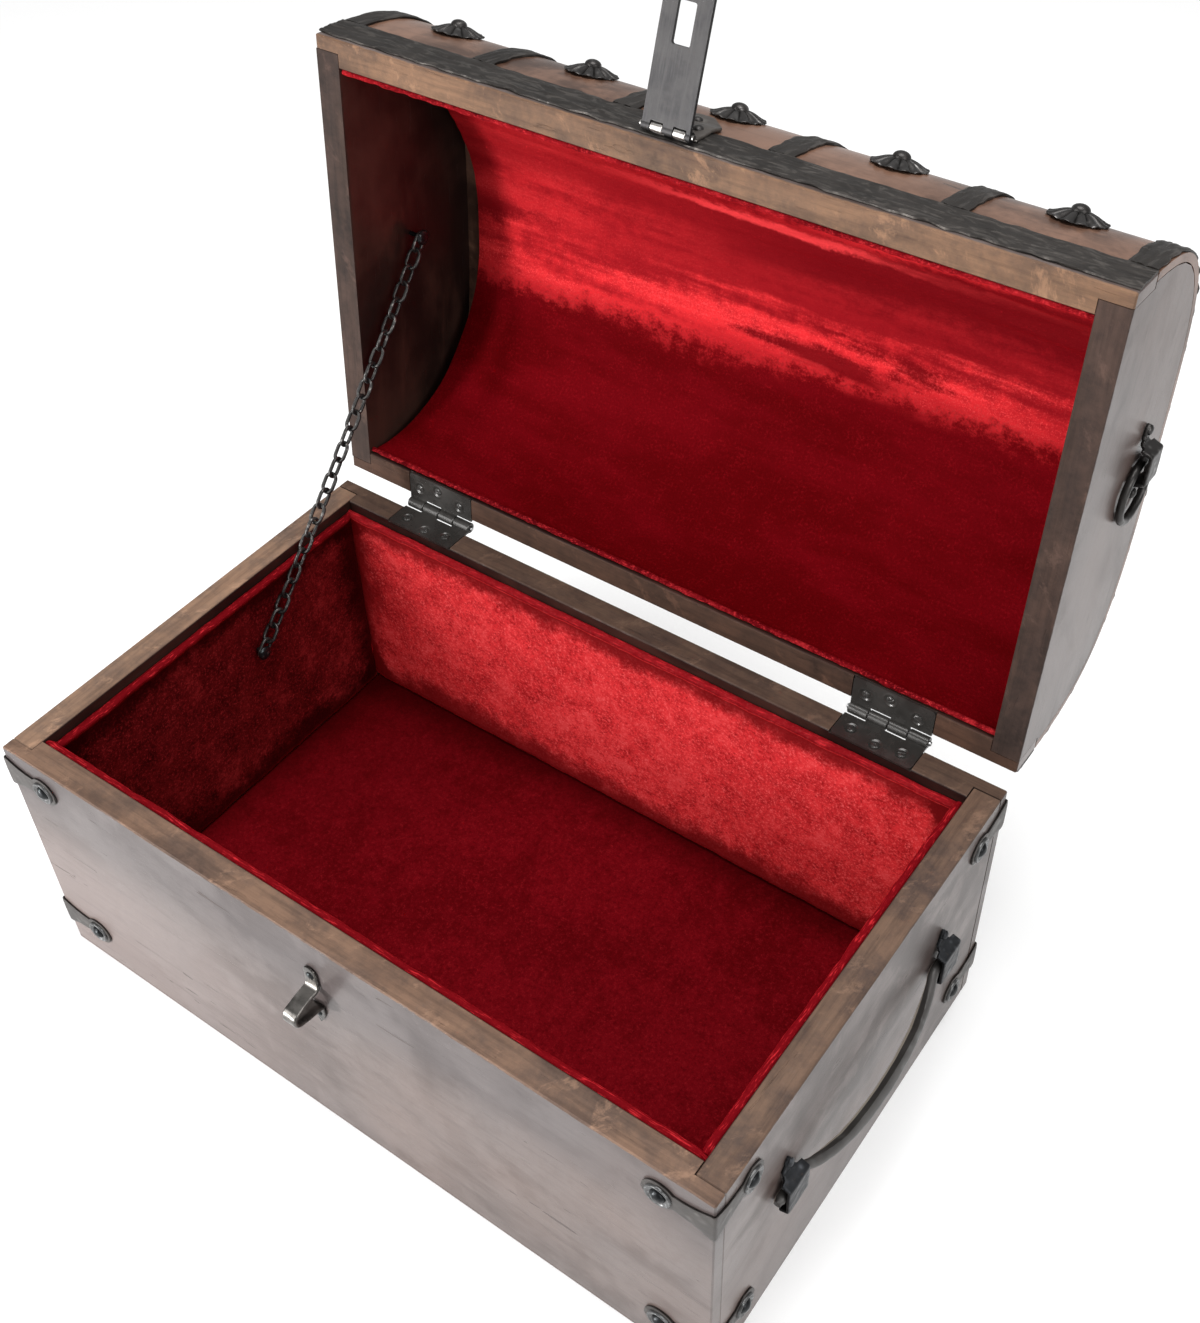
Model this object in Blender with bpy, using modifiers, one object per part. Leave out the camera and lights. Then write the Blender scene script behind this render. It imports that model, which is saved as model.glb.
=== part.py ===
"""A small treasure chest: a boarded box and a barrel lid, iron fittings, a velvet lining and a lid chain."""

import math

import bmesh
import bpy
from mathutils import Matrix, Vector

MM = 0.001

# The whole chest
LENGTH = 430 * MM
DEPTH = 259 * MM
BOX_HEIGHT = 162 * MM
BOARD = 14.5 * MM
OPEN_ANGLE = math.radians(95)

# Clearances that several pieces share
FIT = 0.3 * MM
RUNNING = 0.4 * MM
OVERRUN = 6 * MM
WELD = 0.001 * MM
SCREW_MERGE = 0.05 * MM
EDGE_ROUND = 0.7 * MM

# Box boards: the ends sit in rebates at the ends of the front and back boards
REBATE = 7.5 * MM
BOTTOM_THICKNESS = 12 * MM

# Lid: a thin bent panel over two arched end boards and two rails
LID_GAP = 1 * MM
LID_RISE = 100 * MM
ARCH_POWER = 3.5
ARCH_STEPS = 28
ARCH_SAMPLES = 2000
RAIL_HEIGHT = 22 * MM
BARREL_THICKNESS = 4 * MM

# Velvet lining
LINING_THICKNESS = 2.9 * MM
LINING_ROUND = 1.1 * MM
FLOOR_PAD = 8 * MM
LINING_BELOW_RIM = 6 * MM
NEAR_LINING_BELOW_RIM = 1.5 * MM
LID_LINING_START = 3 * MM
LID_LINING_RISE = 92.2 * MM
LID_LINING_THICKNESS = 2.4 * MM
LID_LINING_POWER = 2.05
LID_LINING_STEPS = 24

# Butt hinges, let in flush to both rims
HINGE_X = LENGTH / 2 - 68 * MM
HINGE_LENGTH = 45.5 * MM
HINGE_REACH = 5.5 * MM
LEAF = 1.5 * MM
KNUCKLE_RADIUS = 3.2 * MM
KNUCKLE_COUNT = 4
PIN_RADIUS = 1.3 * MM
PIN_END = 1.2 * MM
NOTCH_SLACK = 0.5 * MM

# Iron bands on the lid
BAND_THICKNESS = 1.2 * MM
BAND_WIDTH = 13 * MM
BAND_SETBACK = 2.5 * MM
EDGE_BAND_HEIGHT = 19 * MM
BAND_PITCH = LENGTH * 0.1953
END_BAND_INSET = 0.4 * MM

# Rosettes on the front shoulder of the lid
ROSETTE_RADIUS = 13.8 * MM
ROSETTE_HEIGHT = 4.2 * MM
ROSETTE_NAIL_RADIUS = 4.2 * MM
ROSETTE_NAIL_HEIGHT = 2.6 * MM
ROSETTE_RISE = 54 * MM
ROSETTE_PITCH = BAND_PITCH
ROSETTE_COUNT = 5
PETALS = 12
PETAL_STEPS = 36
PETAL_DEPTH = 0.9 * MM

# Corner brackets
BRACKET_THICKNESS = 1 * MM
BRACKET_CORNER_HEIGHT = 19 * MM
BRACKET_NECK_HEIGHT = 11 * MM
BRACKET_TAPER = ((9 * MM, 7 * MM), (15 * MM, 5.8 * MM))
BRACKET_DISC_RADIUS = 8.6 * MM
BRACKET_FLAT = 3 * MM
BRACKET_REACH = 28 * MM
BRACKET_BELOW_RIM = 17 * MM
BRACKET_ABOVE_FLOOR = 27 * MM

# Domed nails on dished washers
NAIL_RADIUS = 4 * MM
NAIL_HEIGHT = 2.4 * MM
WASHER_RADIUS = 6.6 * MM
WASHER_HEIGHT = 0.8 * MM
NAIL_SINK = 0.4 * MM
NAIL_SIDES = 10
SMALL_NAIL_RADIUS = 2.6 * MM
SMALL_NAIL_HEIGHT = 1.6 * MM

# Carrying handles on the box ends
HANDLE_HALF_SPAN = 72 * MM
HANDLE_RISE = 94 * MM
SADDLE_WIDTH = 17 * MM
SADDLE_FOOT_WIDTH = 5.4 * MM
SADDLE_LENGTH = 42 * MM
SADDLE_BRIDGE = 22 * MM
SADDLE_SLOPE = 3.4 * MM
SADDLE_THICKNESS = 1.8 * MM
SADDLE_CLEAR = 6.4 * MM
BAIL_END_RADIUS = 2.5 * MM
BAIL_GRIP_RADIUS = 5 * MM
BAIL_PROUD = 3 * MM
BAIL_DROP = 14 * MM
BAIL_STAND_OFF = 3.4 * MM
BAIL_ANGLE = math.radians(33)
BAIL_FLAT_SHARE = 0.5
BAIL_STEPS = 20

# Ring pulls on the lid ends
RING_RADIUS = 15.5 * MM
RING_WIRE = 2 * MM
RING_BACK = 147 * MM
RING_RISE = 66 * MM
RING_STAND_OFF = 2.5 * MM
RING_SADDLE_WIDTH = 14 * MM
RING_SADDLE_FOOT_WIDTH = 7 * MM
RING_SADDLE_LENGTH = 40 * MM
RING_SADDLE_BRIDGE = 20 * MM
RING_SADDLE_CLEAR = 6.7 * MM

# Hasp on the lid and staple on the box
HASP_X = -6 * MM
HASP_PIN_OUT = 4.6 * MM
HASP_PIN_RISE = 3.8 * MM
HASP_PIN_RADIUS = 1.3 * MM
HASP_KNUCKLE = 2.4 * MM
HASP_WIDTH = 26 * MM
HASP_LENGTH = 68 * MM
HASP_THICKNESS = 2 * MM
HASP_CORNER = 9 * MM
HASP_SLOT_START = 36.3 * MM
HASP_SLOT_END = 54.8 * MM
HASP_SLOT_WIDTH = 9.6 * MM
HASP_SLOT_CORNER = 1.2 * MM
HASP_ANGLE = math.radians(104)
HASP_WINDOW = 6.4 * MM
HASP_WINDOW_SHARES = (-0.19, 0.28)
HASP_PLATE_THICKNESS = 1.6 * MM
HASP_PLATE_HALF_WIDTH = 14 * MM
HASP_PLATE_SHOULDER = 23.7 * MM
HASP_PLATE_TOP = 32.7 * MM
HASP_PLATE_TOP_HALF_WIDTH = 4.5 * MM
HASP_PLATE_STEP = 18.6 * MM
HASP_PLATE_STEP_END = 23 * MM
HASP_NAILS = ((-8 * MM, 12.7 * MM), (8 * MM, 12.7 * MM))
HASP_TOP_NAIL = 24.6 * MM
STAPLE_WIDTH = 8.2 * MM
STAPLE_THICKNESS = 2.2 * MM
STAPLE_HEIGHT = 15.6 * MM
STAPLE_TIP_HEIGHT = 10 * MM
STAPLE_PROJECTION = 19 * MM
STAPLE_FOOT = 15 * MM
STAPLE_FOOT_THICKNESS = 1.2 * MM
STAPLE_NAIL_HEIGHT = 0.8 * MM
STAPLE_BEND = 4 * MM

# Lid chain on the left
LINK_WIRE = 0.85 * MM
LINK_HALF_WIDTH = 3.35 * MM
LINK_BITE = 0.45 * MM
LOWER_LINKS = 9
UPPER_LINKS = 18
CHAIN_SAG = 2.4 * MM
CHAIN_OFF_LINING = 4.5 * MM
CHAIN_BOX_NAIL_Y = 24.3 * MM
CHAIN_BOX_NAIL_Z = 115.2 * MM
CHAIN_LID_NAIL_BACK = 137.9 * MM
CHAIN_LID_NAIL_RISE = 45.8 * MM
CHAIN_NAIL_SHANK = 1.3 * MM
CHAIN_NAIL_HEAD = 4.4 * MM
CHAIN_NAIL_HEIGHT = 2.2 * MM

# Places worked out from the sizes above
FRONT = -DEPTH / 2
BACK = DEPTH / 2
LEFT = -LENGTH / 2
RIGHT = LENGTH / 2
INNER_X = RIGHT - BOARD
INNER_Y = BACK - BOARD
LID_BASE = BOX_HEIGHT + LID_GAP
HINGE_AXIS = Vector((0, BACK + HINGE_REACH, BOX_HEIGHT + LID_GAP / 2))
HASP_AXIS = Vector((HASP_X, FRONT - HASP_PIN_OUT, LID_BASE + HASP_PIN_RISE))
FLOOR_TOP = BOTTOM_THICKNESS + FIT + FLOOR_PAD

# Colours: base colour, roughness and metallic value
STAINED_WOOD = ((0.16, 0.085, 0.055), 0.42, 0)
RED_VELVET = ((0.42, 0.008, 0.015), 0.9, 0)
BLACK_IRON = ((0.055, 0.055, 0.06), 0.5, 0.9)
GREY_STEEL = ((0.26, 0.26, 0.27), 0.38, 1)
BRIGHT_STEEL = ((0.6, 0.59, 0.57), 0.25, 1)

# Each frame turns a plate's across, up and out into the world's X, Y and Z
FACING_FRONT = Matrix(((1, 0, 0), (0, 0, -1), (0, 1, 0))).to_4x4()
FACING_RIGHT = Matrix(((0, 0, 1), (1, 0, 0), (0, 1, 0))).to_4x4()


def start_scene():
    """Empty the scene, and return the collections for the parts and for what cuts them."""
    for thing in list(bpy.data.objects):
        bpy.data.objects.remove(thing, do_unlink=True)
    collections = []
    for name in ("treasure_chest", "cutters"):
        collection = bpy.data.collections.new(name)
        bpy.context.scene.collection.children.link(collection)
        collections.append(collection)
    return collections


def move_to(piece, collection):
    """Take a piece out of its collections and put it in one."""
    for owner in list(piece.users_collection):
        owner.objects.unlink(piece)
    collection.objects.link(piece)


def finish(piece, name, look):
    """Name a finished sub-part, shade it, and give it a material of its own."""
    colour, roughness, metallic = look
    piece.name = name
    piece.data.name = name
    piece.data.shade_smooth()
    piece.data.set_sharp_from_angle(angle=math.radians(32))
    material = bpy.data.materials.new(name)
    material.use_nodes = True
    shader = material.node_tree.nodes["Principled BSDF"]
    shader.inputs["Base Color"].default_value = (*colour, 1)
    shader.inputs["Roughness"].default_value = roughness
    shader.inputs["Metallic"].default_value = metallic
    piece.data.materials.clear()
    piece.data.materials.append(material)
    return piece


def hang(piece, empty):
    """Parent a piece that was built in the closed chest to an empty on its joint's axis."""
    piece.parent = empty
    piece.location = piece.location - Vector(empty["closed_place"])
    return piece


def pivot(name, place, turn, parent):
    """An empty on a joint's axis, turned about X to the open pose."""
    empty = bpy.data.objects.new(name, None)
    PARTS.objects.link(empty)
    empty["closed_place"] = place
    empty.location = place
    if parent:
        empty.parent = parent
        empty.location = place - Vector(parent["closed_place"])
    empty.rotation_euler.x = turn
    return empty


def block(low, high):
    """A board or plate between two opposite corners."""
    bpy.ops.mesh.primitive_cube_add(size=1)
    piece = bpy.context.object
    piece.data.transform(Matrix.Diagonal((*(b - a for a, b in zip(low, high)), 1)))
    piece.location = [(a + b) / 2 for a, b in zip(low, high)]
    move_to(piece, PARTS)
    return piece


def bar(centre, radius, length, sides, turn=(0, math.pi / 2, 0)):
    """A round bar, along X unless it is turned another way."""
    bpy.ops.mesh.primitive_cylinder_add(
        vertices=sides, radius=radius, depth=length, location=centre, rotation=turn
    )
    piece = bpy.context.object
    move_to(piece, PARTS)
    return piece


def meshed(curve, place):
    """The mesh of a curve, welded shut, with its object set in place."""
    source = bpy.data.objects.new("outline", curve)
    PARTS.objects.link(source)
    source.matrix_world = place
    bpy.context.view_layer.update()
    evaluated = source.evaluated_get(bpy.context.evaluated_depsgraph_get())
    mesh = bpy.data.meshes.new_from_object(evaluated)
    shape = bmesh.new()
    shape.from_mesh(mesh)
    bmesh.ops.remove_doubles(shape, verts=shape.verts, dist=WELD)
    bmesh.ops.recalc_face_normals(shape, faces=shape.faces)
    shape.to_mesh(mesh)
    shape.free()
    piece = bpy.data.objects.new("piece", mesh)
    PARTS.objects.link(piece)
    piece.matrix_world = place
    bpy.data.objects.remove(source, do_unlink=True)
    bpy.data.curves.remove(curve)
    return piece


def sheet(outline, thickness, facing, centre):
    """A flat outline given thickness about its own plane, turned to a face and placed."""
    curve = bpy.data.curves.new("outline", "CURVE")
    curve.dimensions = "2D"
    curve.fill_mode = "BOTH"
    curve.extrude = thickness / 2
    spline = curve.splines.new("POLY")
    spline.points.add(len(outline) - 1)
    for point, (across, up) in zip(spline.points, outline):
        point.co = (across, up, 0, 1)
    spline.use_cyclic_u = True
    return meshed(curve, Matrix.Translation(centre) @ facing)


def wire(points, radii, closed, resolution, place):
    """A round wire along points, with a radius at each of them."""
    curve = bpy.data.curves.new("wire", "CURVE")
    curve.dimensions = "3D"
    curve.fill_mode = "FULL"
    curve.bevel_depth = max(radii)
    curve.bevel_resolution = resolution
    curve.use_fill_caps = True
    spline = curve.splines.new("POLY")
    spline.points.add(len(points) - 1)
    for point, place_of, radius in zip(spline.points, points, radii):
        point.co = (*place_of, 1)
        point.radius = radius / max(radii)
    spline.use_cyclic_u = closed
    return meshed(curve, place)


def turned(profile, steps, place):
    """A profile of radius and height, top to bottom, turned about its axis."""
    mesh = bpy.data.meshes.new("profile")
    edges = [(i, i + 1) for i in range(len(profile) - 1)]
    mesh.from_pydata([(radius, 0, height) for radius, height in profile], edges, [])
    source = bpy.data.objects.new("profile", mesh)
    PARTS.objects.link(source)
    screw = source.modifiers.new("turn", "SCREW")
    screw.steps = steps
    screw.render_steps = steps
    screw.use_merge_vertices = True
    screw.merge_threshold = SCREW_MERGE
    bpy.context.view_layer.update()
    evaluated = source.evaluated_get(bpy.context.evaluated_depsgraph_get())
    shape = bpy.data.meshes.new_from_object(evaluated)
    piece = bpy.data.objects.new("turned", shape)
    PARTS.objects.link(piece)
    piece.matrix_world = place
    bpy.data.objects.remove(source, do_unlink=True)
    bpy.data.meshes.remove(mesh)
    return piece


def use_tool(piece, tool, operation):
    """Cut or join a piece with a tool, which moves with it."""
    bpy.context.view_layer.update()
    tool.parent = piece
    tool.matrix_parent_inverse = piece.matrix_world.inverted()
    tool.hide_render = True
    tool.display_type = "WIRE"
    move_to(tool, CUTTERS)
    modifier = piece.modifiers.new(operation.lower(), "BOOLEAN")
    modifier.operation = operation
    modifier.solver = "EXACT"
    modifier.object = tool
    return piece


def cut(piece, tool):
    return use_tool(piece, tool, "DIFFERENCE")


def join(piece, tool):
    return use_tool(piece, tool, "UNION")


def keep_within(piece, tool):
    return use_tool(piece, tool, "INTERSECT")


def round_edges(piece, width, segments=1):
    """Ease the sharp edges of a piece."""
    bevel = piece.modifiers.new("eased", "BEVEL")
    bevel.width = width
    bevel.segments = segments
    bevel.limit_method = "ANGLE"
    bevel.angle_limit = math.radians(40)
    return piece


def settled(piece, flips=(1, 1, 1), shift=(0, 0, 0)):
    """A copy of a piece as it is evaluated, in the chest's own frame, mirrored and shifted."""
    bpy.context.view_layer.update()
    evaluated = piece.evaluated_get(bpy.context.evaluated_depsgraph_get())
    mesh = bpy.data.meshes.new_from_object(evaluated)
    mesh.transform(Matrix.Translation(shift) @ Matrix.Diagonal((*flips, 1)) @ piece.matrix_world)
    if math.prod(flips) < 0:
        mesh.flip_normals()
    copy = bpy.data.objects.new("copy", mesh)
    PARTS.objects.link(copy)
    return copy


def discard(piece):
    """Remove a pattern piece and the tools that shaped it."""
    for tool in list(piece.children):
        bpy.data.objects.remove(tool, do_unlink=True)
    bpy.data.objects.remove(piece, do_unlink=True)


def arc(centre, radius, start, end, steps):
    """Points along a round stretch of an outline."""
    angles = [start + (end - start) * i / steps for i in range(steps + 1)]
    return [(centre[0] + radius * math.cos(a), centre[1] + radius * math.sin(a)) for a in angles]


def offset_path(path, distance):
    """A path moved to its left by a distance, with mitred corners."""
    points = [Vector(p) for p in path]
    moved = []
    for i, point in enumerate(points):
        before = (point - points[i - 1]).normalized() if i else None
        after = (points[i + 1] - point).normalized() if i + 1 < len(points) else None
        before = before or after
        after = after or before
        left = Vector((-before.y - after.y, before.x + after.x)).normalized()
        reach = distance / left.dot(Vector((-after.y, after.x)))
        moved.append(tuple(point + left * reach))
    return moved


def strip(path, thickness):
    """The closed outline of a strip bent along a path."""
    return offset_path(path, thickness / 2) + offset_path(path, -thickness / 2)[::-1]


def arch(half_width, rise, power, steps, start=0):
    """Evenly spaced points of a full, flat-sided arch from front to back, above a starting height."""
    dense = []
    for i in range(ARCH_SAMPLES + 1):
        angle = math.pi * i / ARCH_SAMPLES
        across = -math.copysign(abs(math.cos(angle)) ** (2 / power), math.cos(angle))
        up = rise * math.sin(angle) ** (2 / power)
        if up > start:
            dense.append(Vector((half_width * across, up)))
    foot = half_width * (1 - (start / rise) ** power) ** (1 / power)
    dense = [Vector((-foot, start))] + dense + [Vector((foot, start))]
    lengths = [0]
    for a, b in zip(dense, dense[1:]):
        lengths.append(lengths[-1] + (b - a).length)
    points = []
    at = 0
    for i in range(steps + 1):
        wanted = lengths[-1] * i / steps
        while at < len(dense) - 2 and lengths[at + 1] < wanted:
            at += 1
        share = (wanted - lengths[at]) / (lengths[at + 1] - lengths[at])
        points.append(tuple(dense[at].lerp(dense[at + 1], share)))
    return points


def raised(path, height):
    """A path of across and up, moved up."""
    return [(across, up + height) for across, up in path]


def domed_nail(place, washer=True, height=SMALL_NAIL_HEIGHT):
    """A round-headed nail, on a dished washer or bare."""
    radius = NAIL_RADIUS if washer else SMALL_NAIL_RADIUS
    height = NAIL_HEIGHT if washer else height
    base = WASHER_HEIGHT if washer else 0
    profile = [(0, base + height)]
    profile.append((radius * math.sin(math.radians(40)), base + height * math.cos(math.radians(40))))
    profile.append((radius * math.sin(math.radians(70)), base + height * math.cos(math.radians(70))))
    profile.append((radius, base))
    if washer:
        profile.append((WASHER_RADIUS, base))
        profile.append((WASHER_RADIUS, -NAIL_SINK))
    else:
        profile.append((radius, -NAIL_SINK))
    profile.append((0, -NAIL_SINK))
    return turned(profile, NAIL_SIDES, place)


def on_face(facing, across, up, out):
    """A place on a face, given across, up and out in the face's own directions."""
    return Matrix.Translation((facing @ Vector((across, up, out)))) @ facing


def make_box():
    """Four boards round a bottom, with the ends let into rebates."""
    for name, side in (("box_front_board", -1), ("box_back_board", 1)):
        board = block((LEFT, side * INNER_Y, 0), (RIGHT, side * BACK, BOX_HEIGHT))
        board = round_edges(finish(ordered(board), name, STAINED_WOOD), EDGE_ROUND)
        for end in (-1, 1):
            cut(board, rebate(side, end, -OVERRUN, BOX_HEIGHT + OVERRUN))
        if side > 0:
            for hinge_x in (-HINGE_X, HINGE_X):
                cut(board, hinge_notch(hinge_x, BOX_HEIGHT - LEAF - FIT, BOX_HEIGHT + OVERRUN))
    for name, side in (("box_left_end", -1), ("box_right_end", 1)):
        reach = INNER_Y + REBATE - FIT
        end = block((side * INNER_X, -reach, 0), (side * RIGHT, reach, BOX_HEIGHT))
        round_edges(finish(ordered(end), name, STAINED_WOOD), EDGE_ROUND)
    low = (-INNER_X + FIT, -INNER_Y + FIT, 0)
    high = (INNER_X - FIT, INNER_Y - FIT, BOTTOM_THICKNESS)
    round_edges(finish(block(low, high), "box_bottom", STAINED_WOOD), EDGE_ROUND)


def ordered(piece):
    """Face a block outward again, whose corners were given in falling order."""
    shape = bmesh.new()
    shape.from_mesh(piece.data)
    bmesh.ops.recalc_face_normals(shape, faces=shape.faces)
    shape.to_mesh(piece.data)
    shape.free()
    return piece


def rebate(side, end, low, high):
    """The cutter for the rebate that an end board sits in."""
    start = (end * (INNER_X - FIT), side * (INNER_Y - OVERRUN), low)
    stop = (end * (RIGHT + OVERRUN), side * (INNER_Y + REBATE), high)
    return ordered(block(start, stop))


def hinge_notch(hinge_x, low, high):
    """The cutter for the notch that a hinge leaf lies in."""
    half = HINGE_LENGTH / 2 + NOTCH_SLACK
    return block((hinge_x - half, INNER_Y - OVERRUN, low), (hinge_x + half, BACK + OVERRUN, high))


def make_lining():
    """A floor pad and four thin wall panels, all velvet covered."""
    below = {-1: NEAR_LINING_BELOW_RIM, 1: LINING_BELOW_RIM}
    x, y = INNER_X - FIT, INNER_Y - FIT
    inner = x - LINING_THICKNESS
    base = FLOOR_TOP + FIT
    floor = block((-x, -y, BOTTOM_THICKNESS + FIT), (x, y, FLOOR_TOP))
    round_edges(finish(floor, "lining_floor", RED_VELVET), LINING_ROUND, 2)
    for name, side in (("lining_front", -1), ("lining_back", 1)):
        top = BOX_HEIGHT - below[side]
        panel = ordered(block((-x, side * (y - LINING_THICKNESS), base), (x, side * y, top)))
        round_edges(finish(panel, name, RED_VELVET), LINING_ROUND, 2)
    for name, side in (("lining_left", -1), ("lining_right", 1)):
        top = BOX_HEIGHT - below[-side]
        reach = y - LINING_THICKNESS - FIT
        panel = ordered(block((side * inner, -reach, base), (side * x, reach, top)))
        round_edges(finish(panel, name, RED_VELVET), LINING_ROUND, 2)


def lid_arch(offset, start=RAIL_HEIGHT):
    """The lid's outer line above its rails, moved outward by an offset."""
    path = arch(BACK, LID_RISE, ARCH_POWER, ARCH_STEPS, start)
    return raised(offset_path(path, offset), LID_BASE)


def make_lid(lid):
    """Two rails, two arched end boards, the bent panel over them and the lining inside."""
    rail_top = LID_BASE + RAIL_HEIGHT
    for name, side in (("lid_front_rail", -1), ("lid_back_rail", 1)):
        rail = block((LEFT, side * INNER_Y, LID_BASE), (RIGHT, side * BACK, rail_top))
        rail = round_edges(finish(ordered(rail), name, STAINED_WOOD), EDGE_ROUND)
        for end in (-1, 1):
            cut(rail, rebate(side, end, LID_BASE - OVERRUN, rail_top + OVERRUN))
        if side > 0:
            for hinge_x in (-HINGE_X, HINGE_X):
                cut(rail, hinge_notch(hinge_x, LID_BASE - OVERRUN, LID_BASE + LEAF + FIT))
        hang(rail, lid)
    foot = INNER_Y + REBATE - FIT
    step = rail_top + FIT
    inside = [p for p in lid_arch(-BARREL_THICKNESS - FIT) if p[1] > step]
    top = [(-inside_edge(step), step)] + inside + [(inside_edge(step), step)]
    outline = [(-foot, LID_BASE), (-foot, step)] + top + [(foot, step), (foot, LID_BASE)]
    for name, side in (("lid_left_end", -1), ("lid_right_end", 1)):
        centre = (side * (RIGHT + INNER_X) / 2, 0, 0)
        end = finish(sheet(outline, BOARD, FACING_RIGHT, centre), name, STAINED_WOOD)
        hang(round_edges(end, EDGE_ROUND), lid)
    outer = lid_arch(0, RAIL_HEIGHT + FIT)
    shell = outer + lid_arch(-BARREL_THICKNESS, RAIL_HEIGHT + FIT)[::-1]
    barrel = finish(sheet(shell, LENGTH, FACING_RIGHT, (0, 0, 0)), "lid_barrel", STAINED_WOOD)
    hang(barrel, lid)
    half = INNER_Y - FIT
    path = arch(half, LID_LINING_RISE, LID_LINING_POWER, LID_LINING_STEPS)
    path = raised(path, LID_BASE + LID_LINING_START)
    outline = path + offset_path(path, -LID_LINING_THICKNESS)[::-1]
    length = 2 * (INNER_X - FIT)
    lining = sheet(outline, length, FACING_RIGHT, (0, 0, 0))
    hang(finish(lining, "lid_lining", RED_VELVET), lid)


def barrel_reach(height):
    """How far out the outer face of the bent panel is at a height."""
    share = ((height - LID_BASE) / LID_RISE) ** ARCH_POWER
    return BACK * (1 - share) ** (1 / ARCH_POWER)


def inside_edge(height):
    """How far out an end board reaches under the bent panel at a height."""
    return barrel_reach(height) - BARREL_THICKNESS - FIT


def make_bands(lid):
    """Six iron bands over the barrel, and one along each long edge."""
    low = LID_BASE + BAND_SETBACK
    high = low + EDGE_BAND_HEIGHT
    for name, side in (("lid_edge_band_front", -1), ("lid_edge_band_back", 1)):
        near = side * (BACK + FIT)
        band = ordered(block((LEFT, near, low), (RIGHT, near + side * BAND_THICKNESS, high)))
        hang(finish(band, name, BLACK_IRON), lid)
    start = BAND_SETBACK + EDGE_BAND_HEIGHT + FIT
    inner = lid_arch(FIT, start)
    outline = lid_arch(FIT + BAND_THICKNESS, start) + inner[::-1]
    end_x = RIGHT - BAND_WIDTH / 2 - END_BAND_INSET
    places = [-end_x, -1.5 * BAND_PITCH, -BAND_PITCH / 2, BAND_PITCH / 2, 1.5 * BAND_PITCH, end_x]
    for number, x in enumerate(places, 1):
        band = sheet(outline, BAND_WIDTH, FACING_RIGHT, (x, 0, 0))
        hang(finish(band, f"lid_band_{number}", BLACK_IRON), lid)


def fluted(piece):
    """Draw a turned dome in between its petals."""
    for vertex in piece.data.vertices:
        radius = math.hypot(vertex.co.x, vertex.co.y)
        if radius < WELD:
            continue
        angle = math.atan2(vertex.co.y, vertex.co.x)
        valley = PETAL_DEPTH * (1 - abs(math.cos(angle * PETALS / 2))) * radius / ROSETTE_RADIUS
        scale = (radius - valley) / radius
        vertex.co.x *= scale
        vertex.co.y *= scale
        if vertex.co.z > 0:
            vertex.co.z = max(vertex.co.z - valley, 0)
    return piece


def make_rosettes(lid):
    """Fluted iron domes, each held by a round nail, on the front shoulder."""
    share = (ROSETTE_RISE / LID_RISE) ** ARCH_POWER
    out = (1 - share) ** (1 / ARCH_POWER)
    slope = Vector((-(out ** (ARCH_POWER - 1)) / BACK, share / ROSETTE_RISE))
    tilt = math.atan2(slope.y, -slope.x)
    foot = Vector((0, -out * BACK, LID_BASE + ROSETTE_RISE))
    turn = Matrix.Rotation(-tilt, 4, "X") @ FACING_FRONT
    outward = (turn @ Vector((0, 0, 1))).normalized()
    profile = [(0, ROSETTE_HEIGHT)]
    for degrees in (25, 48, 70):
        angle = math.radians(degrees)
        profile.append((ROSETTE_RADIUS * math.sin(angle), ROSETTE_HEIGHT * math.cos(angle)))
    profile += [(ROSETTE_RADIUS, ROSETTE_HEIGHT * math.cos(math.radians(82))), (ROSETTE_RADIUS, 0), (0, 0)]
    head = [(0, ROSETTE_HEIGHT + ROSETTE_NAIL_HEIGHT)]
    for degrees in (40, 70, 90):
        angle = math.radians(degrees)
        rise = ROSETTE_NAIL_HEIGHT * math.cos(angle)
        head.append((ROSETTE_NAIL_RADIUS * math.sin(angle), ROSETTE_HEIGHT + rise))
    head += [(ROSETTE_NAIL_RADIUS, ROSETTE_HEIGHT / 2), (0, ROSETTE_HEIGHT / 2)]
    for number in range(ROSETTE_COUNT):
        x = (number - (ROSETTE_COUNT - 1) / 2) * ROSETTE_PITCH
        place = Matrix.Translation(foot + outward * FIT + Vector((x, 0, 0))) @ turn
        rosette = fluted(turned(profile, PETAL_STEPS, place))
        join(rosette, turned(head, NAIL_SIDES, place))
        hang(finish(rosette, f"rosette_{number + 1}", BLACK_IRON), lid)


def bracket_leg(face_out, corner, facing, place):
    """One leg of a corner bracket: a taper from the corner to a round end, with its nail."""
    disc = corner - BRACKET_REACH
    bite = math.asin(BRACKET_NECK_HEIGHT / 2 / BRACKET_DISC_RADIUS)
    half = BRACKET_CORNER_HEIGHT / 2
    flat = corner - BRACKET_FLAT
    upper = [(corner - back, rise) for back, rise in BRACKET_TAPER]
    lower = [(across, -rise) for across, rise in upper[::-1]]
    outline = lower + [(flat, -half), (corner, -half), (corner, half), (flat, half)] + upper
    outline += arc((disc, 0), BRACKET_DISC_RADIUS, bite, 2 * math.pi - bite, 8)
    centre = place @ facing @ Vector((0, 0, face_out + BRACKET_THICKNESS / 2))
    leg = sheet(outline, BRACKET_THICKNESS, place.to_3x3().to_4x4() @ facing, centre)
    nail = domed_nail(place @ on_face(facing, disc, 0, face_out + BRACKET_THICKNESS))
    return leg, nail


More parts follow.
